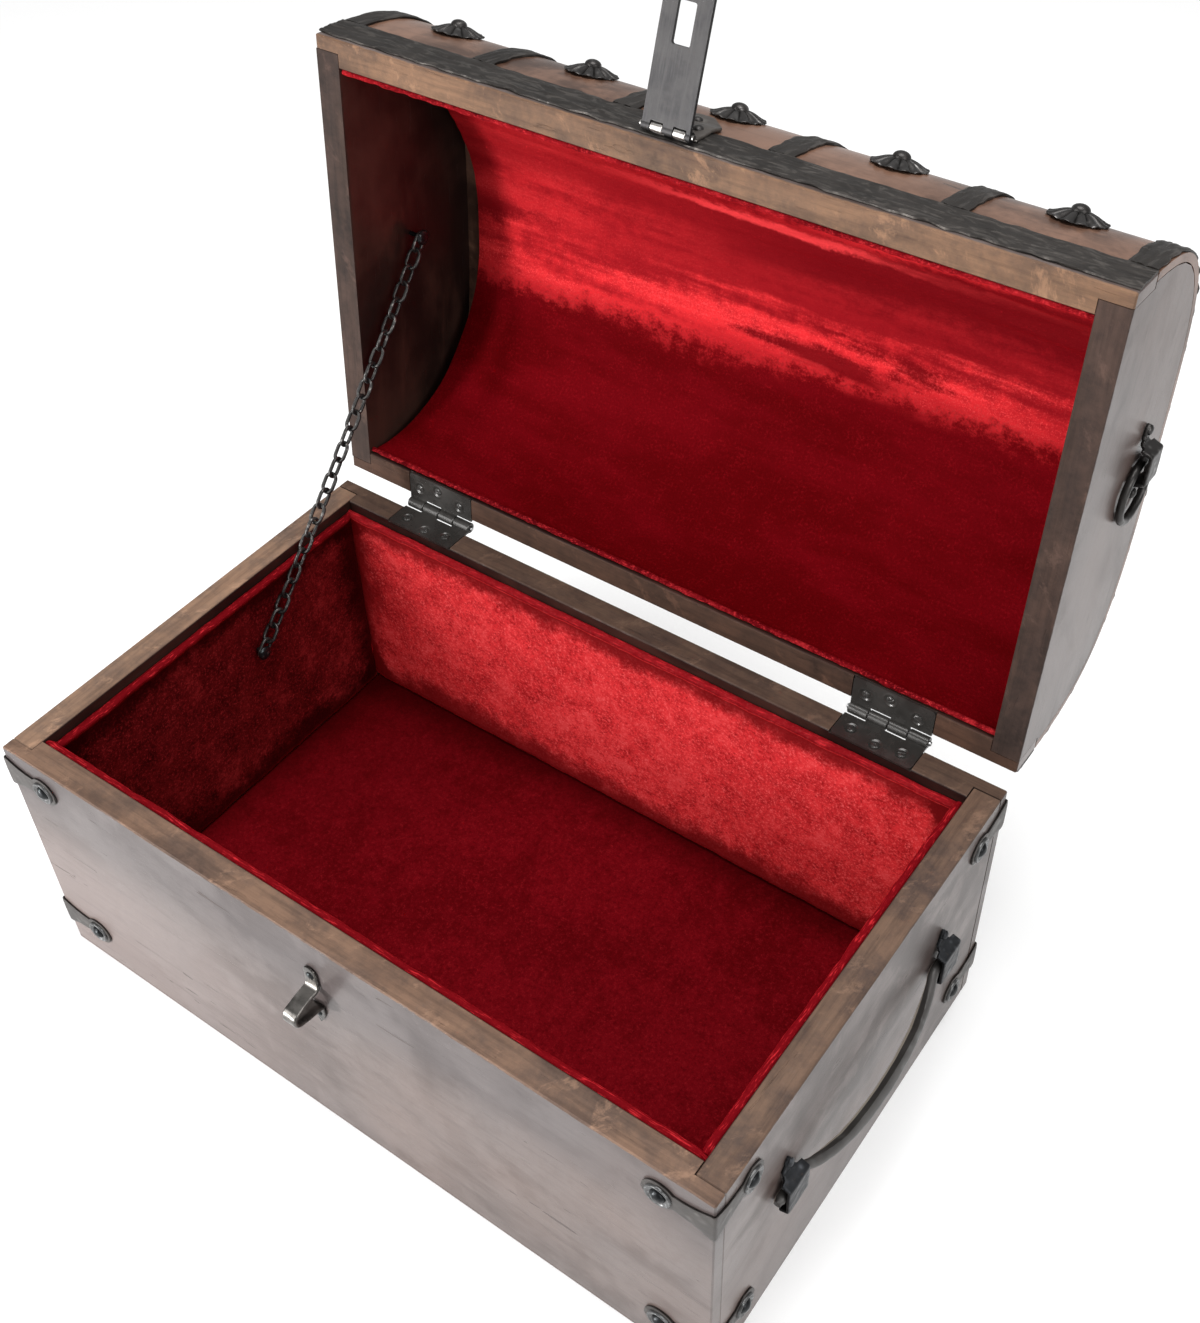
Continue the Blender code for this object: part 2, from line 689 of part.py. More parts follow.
def make_brackets():
    """Eight iron brackets round the corners, all from one pattern at the front right."""
    pattern, nail = bracket_leg(BACK + FIT, RIGHT + FIT + BRACKET_THICKNESS, FACING_FRONT, Matrix())
    join(pattern, nail)
    swing = Matrix.Rotation(math.pi, 4, "X")
    side_leg, side_nail = bracket_leg(RIGHT + FIT, BACK + FIT + BRACKET_THICKNESS, FACING_RIGHT, swing)
    join(pattern, side_leg)
    join(pattern, side_nail)
    heights = (("top", BOX_HEIGHT - BRACKET_BELOW_RIM), ("bottom", BRACKET_ABOVE_FLOOR))
    for level, height in heights:
        for depth_name, flip_y in (("front", 1), ("back", -1)):
            for side_name, flip_x in (("left", -1), ("right", 1)):
                bracket = settled(pattern, (flip_x, flip_y, 1), (0, 0, height))
                name = f"corner_bracket_{depth_name}_{side_name}_{level}"
                finish(bracket, name, BLACK_IRON)
    discard(pattern)


def saddle(length, bridge, clear, width, foot_width):
    """A bent strap that bridges a bar, lying along up, with a nailed foot at each end."""
    low = FIT + SADDLE_THICKNESS / 2
    high = clear + SADDLE_THICKNESS / 2
    half = bridge / 2
    path = [(low, length / 2), (low, half), (0.4 * low + 0.6 * high, half - SADDLE_SLOPE / 2)]
    path.append((high, half - 2 * SADDLE_SLOPE))
    path += [(out, -up) for out, up in path[::-1]]
    lying = Matrix(((0, 0, 1), (0, 1, 0), (-1, 0, 0))).to_4x4()
    strap = sheet([(-out, up) for out, up in strip(path, SADDLE_THICKNESS)], width, lying, (0, 0, 0))
    tip = foot_width / 2
    half_width = width / 2
    outline = [(half_width, -half), (half_width, half)]
    outline += arc((0, length / 2 - tip), tip, 0, math.pi, 4)
    outline += [(-half_width, half), (-half_width, -half)]
    outline += arc((0, tip - length / 2), tip, math.pi, 2 * math.pi, 4)
    keep_within(strap, sheet(outline, 2 * (high + OVERRUN), Matrix(), (0, 0, 0)))
    for end in (-1, 1):
        up = end * (length / 2 - tip)
        join(strap, domed_nail(Matrix.Translation((0, up, FIT + SADDLE_THICKNESS)), washer=False))
    return strap


def make_handles():
    """A forged bail on two saddles, at each end of the box."""
    pattern = saddle(SADDLE_LENGTH, SADDLE_BRIDGE, SADDLE_CLEAR, SADDLE_WIDTH, SADDLE_FOOT_WIDTH)
    place = on_face(FACING_RIGHT, HANDLE_HALF_SPAN, HANDLE_RISE, RIGHT)
    pattern.matrix_world = place @ pattern.matrix_world
    reach = HANDLE_HALF_SPAN + SADDLE_WIDTH / 2 + BAIL_PROUD
    knee = HANDLE_HALF_SPAN - SADDLE_WIDTH / 2 - BAIL_PROUD
    points = [(0, -reach, 0)]
    radii = [BAIL_END_RADIUS]
    for i in range(BAIL_STEPS + 1):
        along = -1 + 2 * i / BAIL_STEPS
        bulge = (1 - along ** 2) ** 0.7
        points.append((0, knee * along, -BAIL_DROP * bulge))
        radii.append(BAIL_END_RADIUS + (BAIL_GRIP_RADIUS - BAIL_END_RADIUS) * bulge ** 2)
    points.append((0, reach, 0))
    radii.append(BAIL_END_RADIUS)
    bail = wire(points, radii, False, 2, Matrix())
    for vertex in bail.data.vertices:
        fullness = max(0, 1 - (vertex.co.y / knee) ** 2)
        vertex.co.x *= 1 - BAIL_FLAT_SHARE * fullness
    swing = Matrix.Rotation(-BAIL_ANGLE, 4, "Y")
    for side_name, side in (("left", -1), ("right", 1)):
        place = Vector((side * (RIGHT + BAIL_STAND_OFF), 0, HANDLE_RISE))
        for end_name, end in (("front", -1), ("back", 1)):
            copy = settled(pattern, (side, end, 1))
            finish(copy, f"handle_{side_name}_saddle_{end_name}", BLACK_IRON)
        bail.matrix_world = swing
        copy = settled(bail, (side, 1, 1))
        copy.location = place
        finish(copy, f"handle_{side_name}_bail", BLACK_IRON)
    discard(pattern)
    discard(bail)


def make_ring_pulls(lid):
    """A loose ring in a saddle, on each end of the lid."""
    pattern = saddle(
        RING_SADDLE_LENGTH, RING_SADDLE_BRIDGE, RING_SADDLE_CLEAR, RING_SADDLE_WIDTH, RING_SADDLE_FOOT_WIDTH
    )
    across = BACK - RING_BACK
    along_depth = FACING_RIGHT @ Matrix.Rotation(math.pi / 2, 4, "Z")
    place = Matrix.Translation((RIGHT, across, LID_BASE + RING_RISE)) @ along_depth
    pattern.matrix_world = place @ pattern.matrix_world
    for side_name, side in (("left", -1), ("right", 1)):
        copy = settled(pattern, (side, 1, 1))
        hang(finish(copy, f"ring_saddle_{side_name}", BLACK_IRON), lid)
        place = Vector((side * (RIGHT + RING_STAND_OFF), across, LID_BASE + RING_RISE))
        bpy.ops.mesh.primitive_torus_add(
            major_radius=RING_RADIUS,
            minor_radius=RING_WIRE,
            major_segments=22,
            minor_segments=7,
        )
        ring = bpy.context.object
        move_to(ring, PARTS)
        ring.data.transform(Matrix.Translation((0, RING_RADIUS, 0)) @ Matrix.Rotation(math.pi / 2, 4, "Y"))
        ring.location = place
        hang(finish(ring, f"ring_pull_{side_name}", BLACK_IRON), lid)
    discard(pattern)


def knuckle_span(number):
    """Where a knuckle starts and stops along the hinge."""
    share = HINGE_LENGTH / KNUCKLE_COUNT
    start = -HINGE_LENGTH / 2 + number * share
    return start, start + share


def make_hinge(name, x, lid):
    """A butt hinge: two leaves with alternate knuckles on one pin."""
    axis = HINGE_AXIS + Vector((x, 0, 0))
    for leaf_name, side, own in (("box_leaf", -1, 1), ("lid_leaf", 1, 0)):
        near = side * LID_GAP / 2
        low = (x - HINGE_LENGTH / 2, INNER_Y, axis.z + near)
        high = (x + HINGE_LENGTH / 2, axis.y, axis.z + near + side * LEAF)
        leaf = ordered(block(low, high))
        for number in range(KNUCKLE_COUNT):
            start, stop = knuckle_span(number)
            if number % 2 == own:
                centre = axis + Vector(((start + stop) / 2, 0, 0))
                join(leaf, bar(centre, KNUCKLE_RADIUS, stop - start - FIT, 14))
            else:
                back = KNUCKLE_RADIUS + RUNNING
                reach = Vector((FIT / 2, 0, 0))
                corner = axis + Vector((start, -back, -back)) - reach
                far = axis + Vector((stop, back + OVERRUN, back)) + reach
                cut(leaf, block(corner, far))
        cut(leaf, bar(axis, PIN_RADIUS + RUNNING, HINGE_LENGTH + OVERRUN, 10))
        finish(leaf, f"hinge_{name}_{leaf_name}", BLACK_IRON)
        if side > 0:
            hang(leaf, lid)
    pin = bar(axis, PIN_RADIUS, HINGE_LENGTH + 2 * PIN_END, 10)
    finish(pin, f"hinge_{name}_pin", BRIGHT_STEEL)


def hasp_windows():
    """Where the fixed plate's knuckles lie along the pin."""
    for share in HASP_WINDOW_SHARES:
        middle = HASP_X + share * HASP_WIDTH
        yield middle - HASP_WINDOW / 2, middle + HASP_WINDOW / 2


def make_hasp(lid):
    """A slotted strap that swings on a nailed plate, on the lid's front."""
    axis = HASP_AXIS
    clear = HASP_KNUCKLE + RUNNING
    half = HASP_WIDTH / 2
    thick = HASP_PLATE_THICKNESS / 2
    plate_out = BACK + 2 * FIT + BAND_THICKNESS + thick
    heights = (HASP_PLATE_STEP_END, HASP_PLATE_TOP)
    bend = [(plate_out, 0), (plate_out, HASP_PLATE_STEP)]
    bend += [(barrel_reach(axis.z + up) + FIT + thick, up) for up in heights]
    outline = [(-out, up) for out, up in strip(bend, HASP_PLATE_THICKNESS)]
    plate = sheet(outline, 2 * (HASP_PLATE_HALF_WIDTH + OVERRUN), FACING_RIGHT, (axis.x, 0, axis.z))
    side = HASP_PLATE_HALF_WIDTH
    top_side = HASP_PLATE_TOP_HALF_WIDTH
    outline = [(-side, 0), (side, 0), (side, HASP_PLATE_SHOULDER), (top_side, HASP_PLATE_TOP)]
    outline += [(-top_side, HASP_PLATE_TOP), (-side, HASP_PLATE_SHOULDER)]
    keep_within(plate, sheet(outline, 2 * OVERRUN, FACING_FRONT, (axis.x, -plate_out, axis.z)))
    edges = [axis.x - half - OVERRUN]
    for start, stop in hasp_windows():
        middle = Vector(((start + stop) / 2, axis.y, axis.z))
        join(plate, bar(middle, HASP_KNUCKLE, stop - start, 14))
        edges += [start, stop]
    edges.append(axis.x + half + OVERRUN)
    for start, stop in zip(edges[::2], edges[1::2]):
        low = (start, axis.y - clear, axis.z - clear)
        cut(plate, block(low, (stop, FRONT, axis.z + clear)))
    join(plate, bar(axis, HASP_PIN_RADIUS, HASP_WIDTH + 2 * PIN_END, 10))
    top_out = barrel_reach(axis.z + HASP_TOP_NAIL) + FIT + HASP_PLATE_THICKNESS
    nails = [(across, up, plate_out + thick) for across, up in HASP_NAILS]
    for across, up, out in nails + [(0, HASP_TOP_NAIL, top_out)]:
        nail = on_face(FACING_FRONT, axis.x + across, axis.z + up, out)
        join(plate, domed_nail(nail, washer=False))
    hang(finish(plate, "hasp_plate", BLACK_IRON), lid)

    hinge = pivot("hasp_axis", axis, -HASP_ANGLE, lid)
    corner = HASP_CORNER
    outline = [(half, 0)] + arc((half - corner, corner - HASP_LENGTH), corner, 0, -math.pi / 2, 5)
    outline += arc((corner - half, corner - HASP_LENGTH), corner, -math.pi / 2, -math.pi, 5)
    outline += [(-half, 0)]
    slab = axis.y + HASP_THICKNESS / 2
    strap = sheet(outline, HASP_THICKNESS, FACING_FRONT, (axis.x, slab, axis.z))
    join(strap, bar(axis, HASP_KNUCKLE, HASP_WIDTH, 14))
    slot_x = HASP_SLOT_WIDTH / 2
    low = (axis.x - slot_x, slab - OVERRUN, axis.z - HASP_SLOT_END)
    high = (axis.x + slot_x, slab + OVERRUN, axis.z - HASP_SLOT_START)
    cut(strap, block(low, high))
    for start, stop in hasp_windows():
        low = (start - FIT, axis.y - clear - OVERRUN, axis.z - clear)
        cut(strap, block(low, (stop + FIT, axis.y + clear, axis.z + clear)))
    cut(strap, bar(axis, HASP_PIN_RADIUS + RUNNING, HASP_WIDTH + OVERRUN, 10))
    hang(finish(strap, "hasp_strap", GREY_STEEL), hinge)


def make_staple():
    """The loop that the hasp drops over, bent from one strip."""
    centre = HASP_AXIS.z - (HASP_SLOT_START + HASP_SLOT_END) / 2
    middle = STAPLE_THICKNESS / 2
    tip = STAPLE_PROJECTION - middle
    half = STAPLE_HEIGHT / 2 - middle
    tip_half = STAPLE_TIP_HEIGHT / 2 - middle
    path = [(FIT + STAPLE_FOOT_THICKNESS / 2, half), (tip / 2, (half + tip_half) / 2 + FIT)]
    path += [(tip - STAPLE_BEND, tip_half), (tip - STAPLE_BEND / 4, tip_half * 2 / 3), (tip, 0)]
    path += [(out, -up) for out, up in path[-2::-1]]
    outline = [(-out, up) for out, up in strip(path, STAPLE_THICKNESS)]
    strap = sheet(outline, STAPLE_WIDTH, FACING_RIGHT, (HASP_X, FRONT, centre))
    side = STAPLE_WIDTH / 2
    foot_out = FRONT - FIT - STAPLE_FOOT_THICKNESS
    for end in (-1, 1):
        near = end * (half - middle)
        far = end * (half + STAPLE_FOOT - side)
        turn = arc((0, far), side, 0, end * math.pi, 6)
        outline = [(side, near)] + turn + [(-side, near)]
        place = (HASP_X, foot_out + STAPLE_FOOT_THICKNESS / 2, centre)
        join(strap, sheet(outline, STAPLE_FOOT_THICKNESS, FACING_FRONT, place))
        up = centre + end * (half + STAPLE_FOOT * 3 / 5)
        face = Matrix.Translation((0, foot_out, 0)) @ on_face(FACING_FRONT, HASP_X, up, 0)
        join(strap, domed_nail(face, washer=False, height=STAPLE_NAIL_HEIGHT))
    finish(strap, "hasp_staple", GREY_STEEL)


def link(place, pitch):
    """One oval link of the chain, lying along X."""
    straight = (pitch + 2 * LINK_WIRE - LINK_BITE) / 2 - LINK_HALF_WIDTH
    corner = LINK_HALF_WIDTH / math.cos(math.radians(22.5))
    points = []
    for end in (1, -1):
        for i in range(4):
            angle = math.radians(-67.5 + 45 * i)
            points.append((end * (straight + corner * math.cos(angle)), end * corner * math.sin(angle), 0))
    return wire(points, [LINK_WIRE] * len(points), True, 1, place)


def merged(pieces):
    """One object from several that don't touch."""
    shape = bmesh.new()
    for piece in pieces:
        mesh = piece.data.copy()
        mesh.transform(piece.matrix_world)
        shape.from_mesh(mesh)
        bpy.data.meshes.remove(mesh)
        bpy.data.objects.remove(piece, do_unlink=True)
    mesh = bpy.data.meshes.new("merged")
    shape.to_mesh(mesh)
    shape.free()
    whole = bpy.data.objects.new("merged", mesh)
    PARTS.objects.link(whole)
    return whole


def chain_places():
    """The two nails, the pitch, and the place of each link along a shallow sag between them."""
    x = -INNER_X + FIT + LINING_THICKNESS + CHAIN_OFF_LINING
    start = Vector((x, CHAIN_BOX_NAIL_Y, CHAIN_BOX_NAIL_Z))
    lid_nail = Vector((x, BACK - CHAIN_LID_NAIL_BACK, LID_BASE + CHAIN_LID_NAIL_RISE))
    hinge = Vector((x, HINGE_AXIS.y, HINGE_AXIS.z))
    end = hinge + Matrix.Rotation(-OPEN_ANGLE, 3, "X") @ (lid_nail - hinge)
    total = (end - start).length
    count = LOWER_LINKS + UPPER_LINKS
    on_nail = LINK_BITE / 2 + CHAIN_NAIL_SHANK + FIT
    slack = FIT + LINK_BITE
    pitch = (total + 2 * on_nail + slack) / count
    places = []
    for i in range(count):
        along = (i + 0.5) * pitch - on_nail - (slack if i >= LOWER_LINKS else 0)
        share = along / total
        middle = start.lerp(end, share) - Vector((0, 0, 4 * CHAIN_SAG * share * (1 - share)))
        forward = end - start - Vector((0, 0, 4 * CHAIN_SAG * (1 - 2 * share)))
        forward.normalize()
        side = Vector((1, 0, 0))
        frame = Matrix((forward, side.cross(forward), side)).transposed().to_4x4()
        turn = math.pi / 2 if i % 2 else 0
        places.append(Matrix.Translation(middle) @ frame @ Matrix.Rotation(turn, 4, "X"))
    return start, lid_nail, pitch, places


def make_chain(lid):
    """The chain that stops the lid, in a lower and an upper length, and the nails it hangs from."""
    box_nail, lid_nail, pitch, places = chain_places()
    groups = (("chain_lower", places[:LOWER_LINKS]), ("chain_upper", places[LOWER_LINKS:]))
    for name, group in groups:
        links = [link(place, pitch) for place in group]
        length = join(merged(links[::2]), merged(links[1::2]))
        finish(length, name, GREY_STEEL)
    head = LINK_WIRE + FIT
    profile = [(0, head + CHAIN_NAIL_HEIGHT)]
    for degrees in (40, 70):
        angle = math.radians(degrees)
        rise = CHAIN_NAIL_HEIGHT * math.cos(angle)
        profile.append((CHAIN_NAIL_HEAD * math.sin(angle), head + rise))
    profile += [(CHAIN_NAIL_HEAD, head), (CHAIN_NAIL_SHANK, head)]
    lining = FIT + LINING_THICKNESS
    for name, place, wall in (("chain_nail_box", box_nail, lining), ("chain_nail_lid", lid_nail, 0)):
        base = wall + FIT - INNER_X - place.x
        whole = profile + [(CHAIN_NAIL_SHANK, base), (0, base)]
        nail = finish(turned(whole, NAIL_SIDES, Matrix.Translation(place) @ FACING_RIGHT), name, BLACK_IRON)
        if name == "chain_nail_lid":
            hang(nail, lid)


PARTS, CUTTERS = start_scene()
LID = pivot("lid_axis", HINGE_AXIS, -OPEN_ANGLE, None)
make_box()
make_lining()
make_lid(LID)
make_bands(LID)
make_rosettes(LID)
make_brackets()
make_handles()
make_ring_pulls(LID)
make_hinge("left", -HINGE_X, LID)
make_hinge("right", HINGE_X, LID)
make_hasp(LID)
make_staple()
make_chain(LID)
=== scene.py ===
"""A boarded treasure chest with a barrel lid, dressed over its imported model."""
import math

import bpy
from mathutils import Matrix, Vector, noise


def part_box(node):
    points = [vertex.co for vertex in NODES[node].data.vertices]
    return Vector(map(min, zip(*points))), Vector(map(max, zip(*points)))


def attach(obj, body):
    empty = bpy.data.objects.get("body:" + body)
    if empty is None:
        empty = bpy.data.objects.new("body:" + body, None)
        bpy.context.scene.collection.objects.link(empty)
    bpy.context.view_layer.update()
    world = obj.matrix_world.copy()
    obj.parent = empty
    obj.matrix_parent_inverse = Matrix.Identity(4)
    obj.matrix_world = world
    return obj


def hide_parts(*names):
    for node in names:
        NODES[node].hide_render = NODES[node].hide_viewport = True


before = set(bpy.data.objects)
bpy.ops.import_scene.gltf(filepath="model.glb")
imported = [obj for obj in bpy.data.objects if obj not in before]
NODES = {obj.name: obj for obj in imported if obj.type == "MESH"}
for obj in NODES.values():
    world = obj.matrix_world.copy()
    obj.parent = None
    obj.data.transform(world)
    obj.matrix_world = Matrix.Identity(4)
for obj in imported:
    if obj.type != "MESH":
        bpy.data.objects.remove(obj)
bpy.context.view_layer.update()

# The view and the light. The camera stands where the photograph was taken from, high at the front
# right. The floor is a wide pale sheet, and the light is a big soft lamp at the front left, a small low
# one beside it, weaker ones at the right and above, and a bright, even room.
EYE = (0.3735, -0.3943, 0.7751)
EYE_RIGHT = Vector((0.8133, 0.5814, -0.0241))
EYE_UP = Vector((-0.3860, 0.5700, 0.7254))
EYE_BACK = Vector((0.4355, -0.5806, 0.6879))
FOCAL_LENGTH = 44.75
FILM_WIDTH = 36
FRAME_SHIFT = (-0.0106, -0.0354)
VIEW_DEPTH = 30
FLOOR_SIZE = 9
FLOOR_GLOW = 0.37
ROOM_LIGHT = 0.5
LAMPS = (
    ("lamp_front_left", (-0.9, -1.5, 0.95), 1.1, 26),
    ("lamp_low_left", (-0.8, -1.55, 0.12), 0.2, 32),
    ("lamp_right", (1.6, -0.5, 1.1), 1.0, 16),
    ("lamp_above", (0.1, 0.2, 1.7), 0.9, 24),
)
AIM = Vector((0, 0.05, 0.16))
WHITE = (1, 1, 1, 1)

camera = bpy.data.objects.new("camera", bpy.data.cameras.new("camera"))
bpy.context.scene.collection.objects.link(camera)
camera.data.lens = FOCAL_LENGTH
camera.data.sensor_width = FILM_WIDTH
camera.data.shift_x, camera.data.shift_y = FRAME_SHIFT
camera.data.clip_end = VIEW_DEPTH
facing = Matrix((EYE_RIGHT, EYE_UP, EYE_BACK)).transposed().to_4x4()
camera.matrix_world = Matrix.Translation(EYE) @ facing
bpy.context.scene.camera = camera

for name, place, size, power in LAMPS:
    lamp = bpy.data.objects.new(name, bpy.data.lights.new(name, "AREA"))
    bpy.context.scene.collection.objects.link(lamp)
    lamp.data.size = size
    lamp.data.energy = power
    lamp.location = place
    lamp.rotation_mode = "QUATERNION"
    lamp.rotation_quaternion = (AIM - lamp.location).to_track_quat("-Z", "Y")

room = bpy.data.worlds.new("room")
room.use_nodes = True
room.node_tree.nodes["Background"].inputs["Color"].default_value = WHITE
room.node_tree.nodes["Background"].inputs["Strength"].default_value = ROOM_LIGHT
bpy.context.scene.world = room
bpy.context.scene.view_settings.view_transform = "Standard"


class Value:
    """A number that varies over a surface, so that a finish is written as sums."""

    def __init__(self, finish, socket):
        self.finish = finish
        self.socket = socket

    def worked(self, operation, first, second=0):
        node = self.finish.node("ShaderNodeMath", {"operation": operation}, {0: first, 1: second})
        return Value(self.finish, node.outputs[0])

    def __add__(self, other):
        return self.worked("ADD", self, other)

    def __sub__(self, other):
        return self.worked("SUBTRACT", self, other)

    def __mul__(self, other):
        return self.worked("MULTIPLY", self, other)

    def __rsub__(self, other):
        return self.worked("SUBTRACT", other, self)

    __radd__ = __add__
    __rmul__ = __mul__

    def wave(self):
        return self.worked("SINE", self)

    def size(self):
        return self.worked("ABSOLUTE", self)

    def swing(self, reach):
        """A pattern about a half made one about nothing."""
        return (self - 0.5) * reach

    def ramp(self, low, high):
        """0 below low, 1 above high, and a soft rise between them."""
        settings = {"interpolation_type": "SMOOTHSTEP"}
        node = self.finish.node("ShaderNodeMapRange", settings, {0: self, 1: low, 2: high})
        return Value(self.finish, node.outputs[0])


class Finish:
    """One material, made of procedural patterns in the object's own coordinates."""

    def __init__(self, name, roughness=0.5, metallic=0, **constants):
        self.material = bpy.data.materials.new(name)
        self.material.use_nodes = True
        self.tree = self.material.node_tree
        self.shader = self.tree.nodes["Principled BSDF"]
        self.give(self.shader, {"Roughness": roughness, "Metallic": metallic, **constants})
        self.coordinates = self.node("ShaderNodeTexCoord")

    def give(self, node, sockets):
        for name, value in sockets.items():
            if isinstance(value, Value):
                value = value.socket
            if isinstance(value, bpy.types.NodeSocket):
                self.tree.links.new(value, node.inputs[name])
            else:
                node.inputs[name].default_value = value

    def node(self, kind, settings=None, sockets=None):
        node = self.tree.nodes.new(kind)
        for name, value in (settings or {}).items():
            setattr(node, name, value)
        self.give(node, sockets or {})
        return node

    def scaled(self, place, scale):
        node = self.node("ShaderNodeVectorMath", {"operation": "MULTIPLY"}, {0: place, 1: scale})
        return node.outputs[0]

    def place(self, scale=(1, 1, 1), turn=(0, 0, 0), shift=(0, 0, 0), source="Object"):
        """The object's own coordinates, shifted, turned and then stretched."""
        start = self.coordinates.outputs[source]
        moved = self.node("ShaderNodeVectorMath", {"operation": "ADD"}, {0: start, 1: shift})
        turned = self.node("ShaderNodeMapping", None, {0: moved.outputs[0], 2: turn})
        return self.scaled(turned.outputs[0], scale)

    def axes(self, place):
        node = self.node("ShaderNodeSeparateXYZ", None, {0: place})
        return [Value(self, socket) for socket in node.outputs]

    def noise(self, place, scale, detail=4, roughness=0.55, distortion=0):
        sockets = {"Vector": place, "Scale": scale, "Detail": detail, "Roughness": roughness}
        node = self.node("ShaderNodeTexNoise", None, {**sockets, "Distortion": distortion})
        return Value(self, node.outputs[0])

    def noises(self, place, *rows):
        """Patterns in one place, each from its scale, detail, roughness and distortion."""
        return [self.noise(place, *row) for row in rows]

    def layered(self, colour, *layers):
        """Lay tones over a colour, each with the share of it that shows."""
        settings = {"data_type": "RGBA", "blend_type": "MIX", "clamp_factor": True}
        for share, tone in layers:
            colour, tone = ((*c, 1) if isinstance(c, tuple) else c for c in (colour, tone))
            colour = self.node("ShaderNodeMix", settings, {0: share, 6: colour, 7: tone}).outputs[2]
        return colour

    def surface(self, colour, height=None, depth=0.001, strength=1, **links):
        """Join the colour, the relief and the other varying values to the shader."""
        self.give(self.shader, {"Base Color": colour, **links})
        if height is not None:
            sockets = {"Strength": strength, "Distance": depth, "Height": height}
            self.give(self.shader, {"Normal": self.node("ShaderNodeBump", None, sockets).outputs[0]})
        return self.material


bpy.ops.object.select_all(action="DESELECT")
bpy.ops.mesh.primitive_plane_add(size=FLOOR_SIZE)
floor = bpy.context.object
floor.name = "floor_sheet"
paper = Finish("pale_floor", roughness=0.9, **{"Emission Strength": FLOOR_GLOW, "Emission Color": WHITE})
floor.data.materials.append(paper.surface((0.62, 0.62, 0.62, 1)))

# The boards. The box and the lid's frame are solid boards, stained dark brown and half glossy outside,
# with a worn, paler brown on the rims where the stain has rubbed off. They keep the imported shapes.
HALF_LENGTH = 0.215
HALF_DEPTH = 0.1295
HINGE = Vector((0, 0.135, 0.1625))
OPEN = math.radians(95)
RIM = 0.162
LID_RIM = 0.163
BOTTOM_SEAM = 0.0021

UMBER = (0.05, 0.026, 0.017)
PLAIN_RIM = ((0.285, 0.15, 0.085), (0.12, 0.077, 0.058))
# The next tone is a painted reflection: the grey sheen of the half-gloss finish, laid into the colour.
PAINTED_SHEEN = (0.12, 0.096, 0.0895)
STAIN = (0.068, 0.05, 0.045)


def tinted(colour, share):
    return tuple(part * share for part in colour)


def as_closed(finish, lid, scale=(1, 1, 1), turn=0.0):
    """A piece's own coordinates, or on the lid what they are about the hinge when it is shut."""
    if lid:
        return finish.place(scale, (OPEN, 0, turn), tuple(-HINGE))
    return finish.place(scale, (0, 0, turn))


